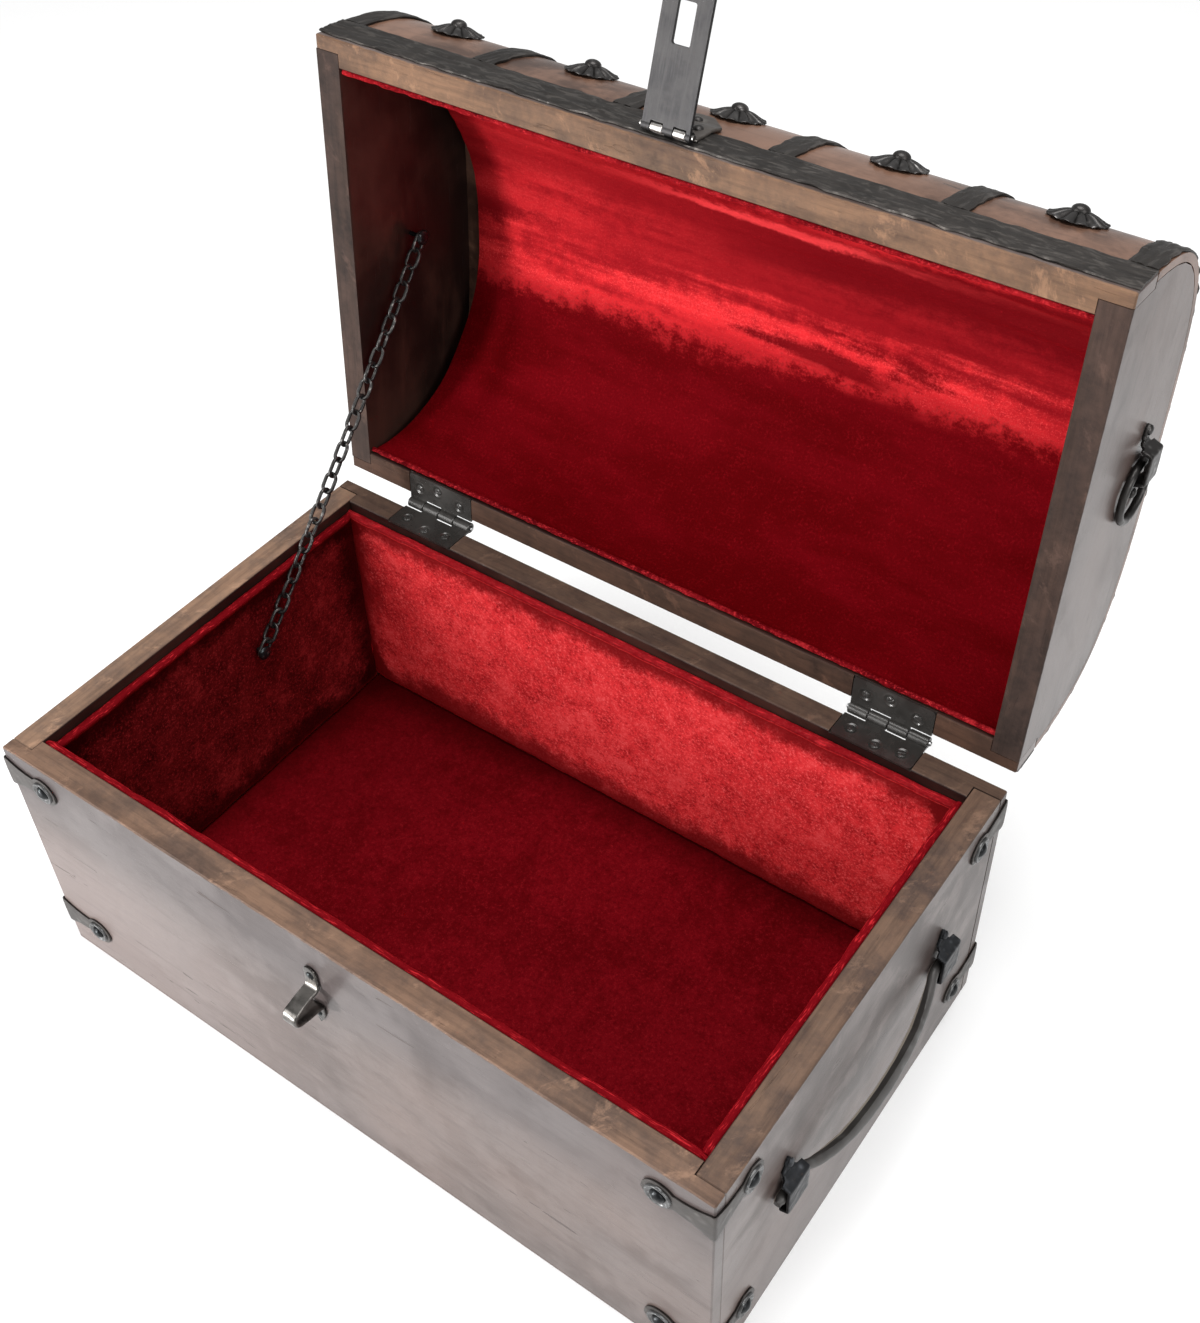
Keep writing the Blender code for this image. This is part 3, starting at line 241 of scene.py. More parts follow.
def wood(name, lid=False, cross=False, rim=PLAIN_RIM, haze=PAINTED_SHEEN, stain=STAIN, warm=0.25, face=0.0, faded=0.0):
    """Stained board: blotchy stain under a painted grey sheen, long grain, a few cracks, a paler worn rim and
    a bare inner face; a face can also get a painted light gradient.
    """
    finish = Finish(name, **{"Coat Roughness": 0.24, "Specular IOR Level": 0.12})
    rim_light, rim_dark = rim
    closed = as_closed(finish, lid)
    x, y, z = finish.axes(closed)
    height = z - (LID_RIM - HINGE.z if lid else RIM)
    if lid:
        height = height * -1
    along, across = (y, x) if cross else (x, y)
    lie = finish.node("ShaderNodeCombineXYZ", None, {0: along, 1: across, 2: z}).outputs[0]

    def stretched(ratio, *row):
        return finish.noise(finish.scaled(lie, (1, ratio, ratio)), *row)

    fibre = stretched(14, 22, 8, 0.7, 0.0)
    streak = stretched(4, 9, 5, 0.6, 0.5)
    figure = stretched(5, 3.2, 3, 0.5, 0.3)
    scratch = stretched(26, 36, 2, 0.5, 0.0).ramp(0.70, 0.76)
    crack = stretched(9, 17, 3, 0.55, 1.2).ramp(0.695, 0.71)
    lines = ((across + z) * 420 + figure * 34).wave()
    soft, cloud, spots, fleck, wide = finish.noises(
        closed, (6, 4, 0.55), (13, 6, 0.66, 0.5), (42, 5, 0.62, 0.4), (190, 4, 0.7), (5, 3, 0.5))

    # The stain shows in blotches through the painted grey sheen, with brighter painted sheen on some spots.
    blotch = soft * 0.22 + cloud * 0.33 + spots * 0.2 + streak * 0.25
    outer = finish.layered(
        tinted(stain, 0.75),
        (blotch.ramp(0.41, 0.56), haze),
        (spots.ramp(0.5, 0.68) * 0.4, tinted(haze, 1.22)),
        ((fleck * 0.5 + streak * 0.5).ramp(0.5, 0.66) * 0.4, stain),
        (wide.ramp(0.5, 0.72) * warm, (0.14, 0.075, 0.05)),
    )
    # Painted light on the face: a paler painted reflection towards the lower left and painted shade along the
    # top.
    if faded:
        low_left = (height + spots * 0.05).ramp(0.0, -0.075) * (x + cloud * 0.2).ramp(0.16, -0.1)
        top = (height + cloud * 0.03).ramp(-0.05, -0.01)
        pale, dim = (0.165, 0.128, 0.118), (0.05, 0.042, 0.044)
        outer = finish.layered(outer, (low_left * faded, pale), (top * 0.45, dim))
    outer = finish.layered(
        outer, (fibre.ramp(0.48, 0.74) * 0.3, tinted(stain, 0.55)), (crack * 0.8, (0.035, 0.02, 0.015)))
    patch = cloud * 0.45 + spots * 0.35 + fleck * 0.2
    scuff = finish.noise(as_closed(finish, lid, (1, 0.55, 1), 0.6), 75, 6, 0.72, 0.3)
    bare_rim = finish.layered(
        rim_light,
        (patch.ramp(0.4, 0.6), rim_dark),
        (lines.ramp(0.1, 0.95) * 0.18, UMBER),
        (fibre.ramp(0.4, 0.7) * 0.45, tinted(rim_dark, 0.4)),
        (scuff.ramp(0.55, 0.67) * 0.55, tinted(rim_light, 1.55)),
        (patch.ramp(0.56, 0.64) * 0.7, tinted(rim_dark, 0.5)),
    )
    worn = (height + cloud.swing(0.003) + fleck.swing(0.0016)).ramp(-0.0014, -0.0004)
    colour = finish.layered(outer, (worn, bare_rim))
    if not lid:
        colour = finish.layered(colour, ((z - BOTTOM_SEAM).size().ramp(0.0006, 0.0002) * 0.7, UMBER))
    if face:
        reach = x if cross else (y + HINGE.y if lid else y)
        inside = (face - reach if face > 0 else reach - face).ramp(0.0140, 0.0144)
        bare = finish.layered(
            (0.012, 0.0055, 0.0045),
            (blotch.ramp(0.4, 0.6), (0.035, 0.017, 0.0125)),
            (streak.ramp(0.5, 0.7) * 0.5, (0.05, 0.021, 0.015)),
        )
        colour = finish.layered(colour, (inside * height.ramp(0.0002, -0.0004), bare))
    relief = fibre * 0.2 + streak * 0.25 + fleck * 0.15 - crack * 1.1 - scratch * 0.5
    gloss = 0.34 + cloud * 0.14 + spots * 0.1 + worn * 0.2
    coat = (1 - worn) * (0.28 + blotch.ramp(0.4, 0.6) * 0.24) + worn * 0.03
    return finish.surface(colour, relief, 0.0005, 0.7, Roughness=gloss, **{"Coat Weight": coat})


def painted(node, name, **looks):
    """Give a packed board a finished material of its own."""
    material = wood(name, **looks)
    for slot in NODES[node].material_slots:
        slot.material = material


# The rim, sheen and stain tones are set board by board to how much light each board gets, so the differences
# between boards are painted light and painted shade, not differences in the wood.
FRONT_TONES = ((0.168, 0.093, 0.054), (0.088, 0.053, 0.036))
painted("box_front_board", "wood_front", face=-HALF_DEPTH, faded=0.72, haze=(0.095, 0.076, 0.071),
        rim=((0.17, 0.102, 0.068), (0.092, 0.06, 0.046)))
painted("box_back_board", "wood_back", face=HALF_DEPTH, rim=((0.085, 0.052, 0.036), (0.05, 0.031, 0.024)))
painted("box_left_end", "wood_left", cross=True, face=-HALF_LENGTH,
        rim=((0.225, 0.138, 0.09), (0.125, 0.084, 0.064)))
painted("box_right_end", "wood_right", cross=True, face=HALF_LENGTH,
        rim=((0.13, 0.08, 0.054), (0.06, 0.041, 0.034)))
painted("box_bottom", "wood_bottom")
painted("lid_front_rail", "wood_lid_front", lid=True, face=-HALF_DEPTH, rim=FRONT_TONES)
painted("lid_back_rail", "wood_lid_back", lid=True, face=HALF_DEPTH,
        rim=((0.062, 0.031, 0.02), (0.036, 0.019, 0.013)))
# The lid's end boards get darker copies of the rim, sheen and stain tones: painted shade.
for side_name, face in (("left", -HALF_LENGTH), ("right", HALF_LENGTH)):
    painted(f"lid_{side_name}_end", f"wood_lid_{side_name}", lid=True, cross=True, face=face,
            rim=((0.05, 0.029, 0.022), (0.024, 0.015, 0.012)),
            haze=(0.078, 0.06, 0.056), stain=(0.044, 0.032, 0.029))

# The box lining. Red crushed velvet is glued over thin padded boards: one on the floor and one on each
# wall, with the cloth rolled over the top edge. The front and right panels come close under the rim,
# and a strip of bare wood shows above the other two.
LID_CLOSED = Matrix.Translation(HINGE) @ Matrix.Rotation(OPEN, 4, "X") @ Matrix.Translation(-HINGE)
LID_OPEN = LID_CLOSED.inverted()
MADE_SHUT = ("lid", "ring_left", "ring_right")


def chosen(*pieces):
    """Select these pieces and nothing else, with the first one active."""
    bpy.ops.object.select_all(action="DESELECT")
    for piece in pieces:
        piece.select_set(True)
    bpy.context.view_layer.objects.active = pieces[0]


def modifier(piece, kind, **settings):
    """Add a modifier with its settings and apply it."""
    made = piece.modifiers.new(kind.lower(), kind)
    for name, value in settings.items():
        setattr(made, name, value)
    chosen(piece)
    bpy.ops.object.modifier_apply(modifier=made.name)


def laid(name, along, across, place, wrap=False, thickness=0):
    """A grid whose points are laid by place(u, v): a sheet, a strip with a thickness, or a tube."""
    bpy.ops.object.select_all(action="DESELECT")
    bpy.ops.mesh.primitive_grid_add(x_subdivisions=along, y_subdivisions=across, size=1)
    piece = bpy.context.object
    piece.name = piece.data.name = name
    for vertex in piece.data.vertices:
        vertex.co = place(vertex.co.x + 0.5, vertex.co.y + 0.5)
    bpy.ops.object.mode_set(mode="EDIT")
    bpy.ops.mesh.select_all(action="SELECT")
    bpy.ops.mesh.remove_doubles(threshold=0.000002)
    if wrap:
        bpy.ops.mesh.select_all(action="SELECT")
        bpy.ops.mesh.fill_holes(sides=0)
    bpy.ops.mesh.select_all(action="SELECT")
    bpy.ops.mesh.normals_make_consistent(inside=False)
    bpy.ops.object.mode_set(mode="OBJECT")
    if thickness:
        modifier(piece, "SOLIDIFY", thickness=thickness, offset=-1, use_even_offset=True)
    return piece


def dressed(piece, material, body, *nodes, sharp=42, slot=None):
    """Finish a piece: its material and shading, the body it moves with and the nodes it stands for."""
    if body in MADE_SHUT:
        piece.data.transform(LID_OPEN)
    piece.data.materials.clear()
    piece.data.materials.append(material)
    chosen(piece)
    bpy.ops.object.shade_smooth_by_angle(angle=math.radians(sharp))
    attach(piece, body)
    if nodes:
        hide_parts(*nodes)
    return piece


def rough(x, y, z=0.0):
    """Smooth, fixed unevenness from about -1 to 1."""
    return noise.noise(Vector((x, y, z))) * 1.6


def between(low, high, share):
    return low + (high - low) * share


NAP = {"Sheen Weight": 0.5, "Sheen Roughness": 0.3, "Sheen Tint": (1, 0.012, 0.02, 1)}
NAP.update({"Specular IOR Level": 0.08, "Specular Tint": (1, 0.06, 0.07, 1)})


def velvet(name, deep, glow, shine, crush=0.6, lid=False, grain=0.7, box=None, even=0.5):
    """Crushed velvet: nap that lies this way and that, fine sparkling pile and soft creases; on a wall pad,
    painted shade along its seams and painted glints on its rolled top.
    """
    finish = Finish(name, roughness=0.8, **NAP)
    pools, nap, pile, hair = finish.noises(
        as_closed(finish, lid), (15, 4, 0.62, 0.3), (75, 5, 0.72, 0.3), (620, 3, 0.75), (1500, 2, 0.6))
    lie = pools * even + nap * (0.9 - even) + pile * 0.1
    colour = finish.layered(
        deep,
        (lie.ramp(0.38, 0.6), glow),
        (lie.ramp(0.52, 0.66) * crush, shine),
        ((pile * 0.6 + hair * 0.4).ramp(0.5, 0.66) * grain, shine),
        ((pile * 0.7 + nap * 0.3).ramp(0.48, 0.32) * grain, tinted(deep, 0.45)),
    )
    if box:
        low, high = box
        x, y, z = finish.axes(finish.place())
        across, start, stop = (y, low.y, high.y) if high.x - low.x < 0.01 else (x, low.x, high.x)
        ragged = nap.swing(0.02) + pile.swing(0.008) + pools.swing(0.02)
        # Painted shade along the pad's seams: darker towards the bottom, under the rolled top and at both
        # ends.
        edge = (z - low.z + ragged * 1.5).ramp(0.026, 0.006) + (high.z - z + ragged).ramp(0.018, 0.006)
        edge = edge + (across - start + ragged).ramp(0.018, 0.002)
        edge = edge + (stop - across + ragged).ramp(0.02, 0.004)
        edge = edge * (z - high.z).ramp(-0.003, -0.0045)
        roll = (z - high.z).ramp(-0.0032, -0.0016)
        # Painted highlights: thin bright glints running along the rolled top.
        painted_glints = finish.noise(finish.place((0.04, 0.05, 1), source="UV"), 1000, 3, 0.6)
        colour = finish.layered(
            colour,
            (edge * 0.85, tinted(deep, 0.3)),
            (roll * 0.9, (0.115, 0.0022, 0.0045)),
            (roll * (painted_glints * 0.7 + nap * 0.3).ramp(0.53, 0.63) * 0.75, (0.5, 0.022, 0.028)),
        )
    return finish.surface(colour, pile * 0.5 + hair * 0.2 + nap * 0.6, 0.0007, 0.5)


low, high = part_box("lining_floor")


def floor_pad(u, v):
    x, y = between(low.x, high.x, u), between(low.y, high.y, v)
    edge = min(x - low.x, high.x - x, y - low.y, high.y - y)
    sink = 0.0026 * math.exp(-edge / 0.003)
    return x, y, high.z - sink + 0.0004 * rough(x * 28, y * 28)


def floor_velvet():
    """The floor's velvet, with painted shade: lighter near the front and darker towards the far corner and
    the far seams.
    """
    finish = Finish("velvet_floor", roughness=0.8, **NAP)
    place = finish.place()
    pools, nap, pile, hair = finish.noises(place, (13, 4, 0.6), (80, 5, 0.72), (520, 3, 0.75), (1400, 2, 0.6))
    x, y, _ = finish.axes(place)
    # Painted shade: darker towards the far corner and along the far seams.
    far = (x - low.x + high.y - y + nap.swing(0.03)).ramp(0.27, 0.02)
    seam_shade = (x - low.x + nap.swing(0.02)).ramp(0.026, 0.003) + (high.y - y + nap.swing(0.02)).ramp(0.03, 0.003)
    colour = finish.layered(
        (0.078, 0.0011, 0.0026),
        ((pools * 0.5 + nap * 0.5).ramp(0.4, 0.6), (0.118, 0.002, 0.0046)),
        ((pile * 0.6 + hair * 0.4).ramp(0.5, 0.68) * 0.5, (0.24, 0.01, 0.014)),
        (pile.ramp(0.48, 0.32) * 0.55, (0.05, 0.0006, 0.0016)),
        (far * 0.45 + seam_shade * 0.35, (0.03, 0.0004, 0.001)),
    )
    return finish.surface(colour, pile * 0.5 + hair * 0.2 + nap * 0.6, 0.0007, 0.5)


pad = laid("velvet_floor", 150, 90, floor_pad, thickness=0.005)
dressed(pad, floor_velvet(), "box", "lining_floor")

ROLL = 0.0019
# Each wall gets its own copy of the velvet's tones, lighter or darker by how much light reaches it: the
# bright back wall is painted light, the dark left wall painted shade, front and right in between.
WALLS = (
    ("front", -1, False, (0.1, 0.0016, 0.0036), (0.2, 0.005, 0.008), (0.6, 0.028, 0.032), {}),
    ("right", 1, True, (0.1, 0.0016, 0.0036), (0.2, 0.005, 0.008), (0.55, 0.022, 0.028), {}),
    ("back", 1, False, (0.62, 0.023, 0.028), (0.86, 0.042, 0.048), (1.0, 0.15, 0.15),
     {"crush": 0.3, "grain": 0.9, "even": 0.25}),
    ("left", -1, True, (0.03, 0.0014, 0.0018), (0.085, 0.004, 0.0048), (0.24, 0.017, 0.019), {}),
)


def wall_outline(foot, top, thick):
    """Depth and height round a wall pad: down the back, up the face and over the rolled edge."""
    outline = [(0, foot), (thick * 0.6, foot), (thick, foot + 0.001)]
    outline += [(thick, between(foot, top - 3 * ROLL, i / 34)) for i in range(1, 35)]
    for i in range(13):
        turn = -0.75 + (math.pi + 0.5) * i / 12
        depth = thick - ROLL * 0.55 + ROLL * 1.3 * math.cos(turn)
        outline.append((max(depth, 0), top - ROLL + ROLL * math.sin(turn)))
    return outline + [(0, top - 2 * ROLL), (0, foot)]


for wall, side, cross, deep, glow, shine, looks in WALLS:
    box = low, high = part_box(f"lining_{wall}")
    start, stop = (low.y, high.y) if cross else (low.x, high.x)
    near, far = (low.x, high.x) if cross else (low.y, high.y)
    back, thick = far if side > 0 else near, far - near
    outline = wall_outline(low.z, high.z, thick)

    def wall_pad(u, v):
        at = between(start, stop, u)
        depth, rise = outline[round(v * (len(outline) - 1))]
        end = min(at - start, stop - at)
        if depth > thick * 0.5:
            depth -= 0.0011 * math.exp(-end / 0.003)
            depth += 0.00035 * rough(at * 45, rise * 45, side) + 0.00025 * rough(at * 160, rise * 60, side)
        if rise > high.z - 2 * ROLL:
            rise += 0.0003 * rough(at * 70, 2, side) + 0.00015 * rough(at * 400, depth * 300, side)
        reach = back - side * depth
        return (reach, at, rise) if cross else (at, reach, rise)

    look = velvet(f"velvet_{wall}", deep, glow, shine, box=box, **looks)
    pad = laid(f"velvet_{wall}", 170, len(outline) - 1, wall_pad, wrap=True)
    dressed(pad, look, "box", f"lining_{wall}", sharp=70)

# The lid lining. One piece of the same velvet is stretched along the inside of the barrel from rim to
# rim, tight at the rims and drawn in a little from the end boards at the crown, with long creases where
# the cloth turns down to the front. A rolled hem runs along both rims.
LINING_HALF = 0.1147
LINING_RISE = 0.0916
LINING_POWER = 2.05
LINING_FOOT = LID_RIM + 0.003
LINING_REACH = 0.2
LINING_STEPS = 200
CROWN_INSET = 0.011


def spaced(points, count):
    """The same path in even steps, and how long it is."""
    runs = [0]
    for a, b in zip(points, points[1:]):
        runs.append(runs[-1] + math.dist(a, b))
    made, at = [], 0
    for i in range(count + 1):
        wanted = runs[-1] * i / count
        while at < len(points) - 2 and runs[at + 1] < wanted:
            at += 1
        share = (wanted - runs[at]) / max(runs[at + 1] - runs[at], 1e-9)
        made.append(tuple(between(p, q, share) for p, q in zip(points[at], points[at + 1])))
    return made, runs[-1]


def arch_line(half, rise, power, start, count):
    """Evenly spaced points of an arch, front to back, each with its outward direction."""
    dense = []
    for i in range(4001):
        angle = math.pi * i / 4000
        side = -math.copysign(abs(math.cos(angle)) ** (2 / power), math.cos(angle))
        up = math.sin(angle) ** (2 / power) if 0 < i < 4000 else 0
        if rise * up >= start:
            dense.append((half * side, rise * up))
    points, run = spaced(dense, count)
    line = []
    for y, up in points:
        slope = math.copysign(abs(y / half) ** (power - 1), y) / half
        line.append((y, up, *Vector((slope, (up / rise) ** (power - 1) / rise)).normalized()))
    return line, run


lining_line, lining_run = arch_line(LINING_HALF, LINING_RISE, LINING_POWER, 0, LINING_STEPS)


def lining(u, v):
    y, up, out_y, out_z = lining_line[round(v * LINING_STEPS)]
    arch = math.sin(math.pi * v)
    reach = LINING_REACH - CROWN_INSET * arch ** 0.7 * (1 + 0.12 * rough(v * 9, u * 2))
    x = between(-reach, reach, u)
    across = (v - 0.30) / 0.13
    creased = math.exp(-across * across) * (0.35 + 0.65 * u)
    drift = v * 210 + 5 * rough(x * 5, 3) + x * 9
    crease = creased * (0.9 * rough(x * 6, drift * 0.12, 4) + 0.45 * rough(x * 16, drift * 0.32, 6))
    inward = 0.0012 + 0.0016 * crease + 0.0007 * rough(x * 9, v * 12, 8) * arch
    inward = max(inward, 0.0006) * min(1, 12 * min(v, 1 - v) + 0.25)
    return x, y - out_y * inward, LINING_FOOT + up - out_z * inward


def lid_velvet():
    """The lid's velvet with painted light: even and in painted shade above, crushed and painted shining where
    it turns down to the front.
    """
    finish = Finish("velvet_lid", roughness=0.8, **NAP)

    def flat(stretch):
        return finish.place((2 * LINING_REACH * stretch, lining_run, 1), source="UV")

    even = flat(1)
    x, along, _ = finish.axes(even)
    pools = finish.noise(flat(0.28), 24, 4, 0.62)
    creases = finish.noise(flat(0.1), 70, 4, 0.6)
    lens = finish.noise(flat(0.16), 38, 3, 0.5, 0.4)
    nap, pile, spark = finish.noises(even, (90, 5, 0.72), (650, 3, 0.75), (1300, 2, 0.6))
    fine = nap.swing(0.022) + pile.swing(0.008)
    drift = along + (x - 0.13) * 0.06
    edge = drift + pools.swing(0.03) + creases.swing(0.03) + fine
    # Painted light: where the cloth turns down to the front it is painted shining, and elsewhere the darker
    # tones are painted shade.
    front = (edge + nap.swing(0.02) + pile.swing(0.02)).ramp(0.196, 0.176)
    lower = (drift + pools.swing(0.02) + fine * 0.6).ramp(0.094, 0.1)
    shade = (lower + (1 - lower) * x.ramp(0.27, 0.17) * 0.7) * (edge + creases.swing(0.04)).ramp(0.168, 0.147)
    shade = shade * (x.ramp(0.05, 0.2) * 0.38 + 0.48)
    # Painted shade in darker bands near the rail.
    band = lower * edge.ramp(0.146, 0.124) * x.ramp(0.12, 0.26)
    band = band + edge.ramp(0.09, 0.084) * x.ramp(0.06, 0.2) * 0.8
    # A painted highlight along the ridge of the cloth just below the rail.
    painted_ridge_highlight = (along - x * 0.012 - 0.0905 + creases.swing(0.012) + fine * 0.4).size().ramp(0.005, 0.0015)
    painted_ridge_highlight = painted_ridge_highlight * (0.12 + 0.5 * (x - 0.22).size().ramp(0.11, 0.03)) * pools.ramp(0.36, 0.54)
    # Painted shade in the hollows and creases of the shining band.
    hollow_shade = (lens * 0.8 + creases * 0.2 + nap.swing(0.12) + pile.swing(0.1)).ramp(0.445, 0.36)
    hollow_shade = hollow_shade * edge.ramp(0.125, 0.145)
    dark = finish.layered(
        (0.068, 0.0005, 0.0014),
        (pools.ramp(0.4, 0.62), (0.098, 0.001, 0.0028)),
        ((pile * 0.7 + nap * 0.3).ramp(0.5, 0.68) * 0.35, (0.26, 0.006, 0.01)),
        (pile.ramp(0.46, 0.3) * 0.4, (0.045, 0.0003, 0.0008)),
    )
    shining = finish.layered(
        (0.27, 0.0075, 0.011),
        ((pools * 0.3 + creases * 0.4 + nap * 0.3).ramp(0.4, 0.58), (0.54, 0.019, 0.023)),
        ((pile * 0.5 + spark * 0.2 + creases * 0.3).ramp(0.5, 0.62) * 0.55, (0.74, 0.06, 0.062)),
        (hollow_shade * 0.85, (0.085, 0.001, 0.0026)),
        (shade, (0.17, 0.0036, 0.0065)),
        (band * 0.7, (0.075, 0.0012, 0.0026)),
        # More painted shade near the rail towards the left.
        (edge.ramp(0.13, 0.105) * x.ramp(0.3, 0.16) * 0.6, (0.13, 0.0026, 0.0046)),
        (painted_ridge_highlight * 0.9, (0.85, 0.055, 0.06)),
    )
    relief = pile * 0.5 + spark * 0.2 + nap * (0.3 + front * 1.2)
    return finish.surface(finish.layered(dark, (front, shining)), relief, 0.0008, 0.6)


cloth = laid("velvet_lid", 240, LINING_STEPS, lining, thickness=0.0012)
dressed(cloth, lid_velvet(), "lid", "lid_lining", sharp=70)
HEMS = (
    ("velvet_hem_front", -1, (0.08, 0.0014, 0.003), (0.2, 0.005, 0.008)),
    ("velvet_hem_back", 1, (0.05, 0.0008, 0.002), (0.1, 0.002, 0.004)),
)
for name, side, deep, glow in HEMS:

    def hem(u, v):
        x = between(-LINING_REACH, LINING_REACH, u)
        radius = 0.0014 + 0.0004 * rough(x * 160, 1, side)
        turn = 2 * math.pi * v
        y = side * (LINING_HALF - 0.0018 + 0.0002 * rough(x * 30, 5)) + radius * math.cos(turn)
        return x, y, LINING_FOOT - 0.0002 + radius * math.sin(turn)

    piece = laid(name, 260, 12, hem, wrap=True)
    look = velvet(name, deep, glow, (0.5, 0.03, 0.035), crush=0.35, lid=True)
    dressed(piece, look, "lid", sharp=70, slot="lid_lining")

# The iron bands. Thin strips of blackened iron, hammered so that ripples run along them and their edges
# wave, are nailed over the barrel: six across it and one along each rim. The barrel's bent panel under
# them is dressed here too, as one smooth sheet so that no facet shows.
BARREL_RISE = 0.1
BARREL_POWER = 3.5
BARREL = (HALF_DEPTH, BARREL_RISE, BARREL_POWER)
PANEL_FOOT = 0.0223
PANEL_STEPS = 120
BAND_FOOT = 0.0216
BAND_STEPS = 150
BAND_THICK = 0.0012
EDGE_BAND_HALF = 0.0095
EDGE_BAND_REACH = 0.2149
FIT = 0.0003
RIPPLE = ((0.026, 0.023, 0.021), (0.105, 0.094, 0.085))


def iron(name, dark, pale, gloss=0.44, metal=0.8, ripples=None, dents=60, lid=False, depth=0.0004, edge=None):
    """Blackened iron: hammer dents or ripples, rubbed high spots, dull brown-grey scale and, if asked, a
    painted highlight along an edge.
    """
    finish = Finish(name, metallic=metal)
    closed = as_closed(finish, lid)
    cloud, fine = finish.noises(closed, (60, 4, 0.6), (420, 4, 0.65))
    if ripples:
        flow = finish.place((ripples[0] * 0.3, ripples[1], 1), source="UV")
        dent = finish.noise(flow, 250, 4, 0.6, 1.6)
        rubbed = dent.ramp(0.5, 0.64) * 0.7
    else:
        sockets = {"Vector": closed, "Scale": dents * 6}
        cells = finish.node("ShaderNodeTexVoronoi", {"feature": "SMOOTH_F1"}, sockets)
        dent = 1 - Value(finish, cells.outputs["Distance"]) * 1.4
        rubbed = (dent * 0.5 + cloud * 0.5).ramp(0.5, 0.75)
    colour = finish.layered(
        dark,
        (cloud.ramp(0.35, 0.7), tinted(dark, 1.5)),
        (rubbed * 0.75, pale),
        (fine.ramp(0.62, 0.75) * 0.3, (0.09, 0.06, 0.045)),
    )
    # A painted highlight: a thin bright line along the bar, at the point of its section that edge gives.
    if edge is not None:
        _, round_bar, _ = finish.axes(finish.place(source="UV"))
        rim = (round_bar - edge).size().ramp(0.075, 0.055)
        colour = finish.layered(colour, (rim * 0.9, (0.5, 0.44, 0.37)))
    relief = dent * 1.0 + fine * 0.25 + cloud * 0.3
    shine = gloss + cloud.swing(0.3) + fine * 0.12 - rubbed * 0.1
    return finish.surface(colour, relief, depth, 0.8, Roughness=shine)


panel_line, _ = arch_line(*BARREL, PANEL_FOOT, PANEL_STEPS)
low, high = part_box("lid_barrel")


def panel(u, v):
    y, up, *_ = panel_line[round(u * PANEL_STEPS)]
    return between(low.x, high.x, v), y, LID_RIM + up


# The barrel's wood gets its own painted sheen tone, browner than the boards'.
barrel_look = wood("wood_barrel", lid=True, rim=FRONT_TONES, warm=0.5, haze=(0.15, 0.08, 0.053),
                   stain=(0.055, 0.028, 0.019))
dressed(laid("barrel_panel", PANEL_STEPS, 40, panel, thickness=0.004), barrel_look, "lid", "lid_barrel")


def band_lift(across, hammered):
    """How far a band's face stands off the wood, lower towards its two edges."""
    return FIT + BAND_THICK + hammered - 0.0003 * across ** 6


band_line, band_run = arch_line(*BARREL, BAND_FOOT, BAND_STEPS)
band_look = iron("band_iron", *RIPPLE, gloss=0.5, ripples=(band_run, 0.013), depth=0.0005)
edge_look = iron("edge_band_iron", *RIPPLE, gloss=0.5, ripples=(2 * HALF_LENGTH, 0.019), depth=0.0005)
for number in range(1, 7):
    low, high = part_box(f"lid_band_{number}")
    middle, half = (low.x + high.x) / 2, (high.x - low.x) / 2

    def band(u, v):
        y, up, out_y, out_z = band_line[round(u * BAND_STEPS)]
        run, across = u * band_run, 2 * v - 1
        width = half + 0.0007 * rough(run * 150, number * 7 + math.copysign(3, across))
        ripple = 0.0002 * rough(run * 130, across * 2.4, number)
        lift = band_lift(across, ripple + 0.0003 * rough(run * 70 + across, across * 5, number))
        return middle + across * width, y + out_y * lift, LID_RIM + up + out_z * lift

    piece = laid(f"band_{number}", BAND_STEPS, 14, band, thickness=0.001)
    dressed(piece, band_look, "lid", f"lid_band_{number}", sharp=50)
for name, side in (("front", -1), ("back", 1)):

    def edge_band(u, v):
        x, across = between(-EDGE_BAND_REACH, EDGE_BAND_REACH, u), 2 * v - 1
        width = EDGE_BAND_HALF + 0.0008 * rough(x * 110, 40 + side * 9 + math.copysign(3, across))
        ripple = 0.0002 * rough(x * 110, across * 2.6, side)
        lift = band_lift(across, ripple + 0.00036 * rough(x * 55 + across, across * 5, side))
        return x, side * (HALF_DEPTH + lift), LID_RIM + 0.0025 + EDGE_BAND_HALF + across * width

    piece = laid(f"edge_band_{name}", 300, 18, edge_band, thickness=0.001)
    dressed(piece, edge_look, "lid", f"lid_edge_band_{name}", sharp=50)

# The rosettes. Five domes of blackened iron, pressed into twelve petals round a smooth nail, stand on
# the lid's front shoulder, each turned a little from the next.
FACING_FRONT = Matrix(((1, 0, 0), (0, 0, -1), (0, 1, 0))).to_4x4()
QUARTER = math.pi / 2
ROSETTE_RADIUS = 0.0138
ROSETTE_RISE = 0.054
ROSETTE_PITCH = 0.084
PETAL_FORM = ((0, 4.1), (2, 4.1), (4.2, 3.95), (6, 3.6), (7.6, 3.1), (9, 2.5), (10.4, 1.85), (11.8, 1.3),
              (12.8, 1.05), (13.5, 0.95), (13.8, 0.6), (13.5, 0.1), (11, 0), (0, 0))


def turned(name, profile, sides, shape=None, at=None):
    """A profile of radius and height turned about Z, and then moved by the matrix at."""

    def place(u, v):
        radius, height = profile[round(v * (len(profile) - 1))]
        angle = 2 * math.pi * u
        if shape:
            radius, height = shape(radius, height, angle)
        return radius * math.cos(angle), radius * math.sin(angle), height

    piece = laid(name, sides, len(profile) - 1, place)
    if at:
        piece.data.transform(at)
    return piece


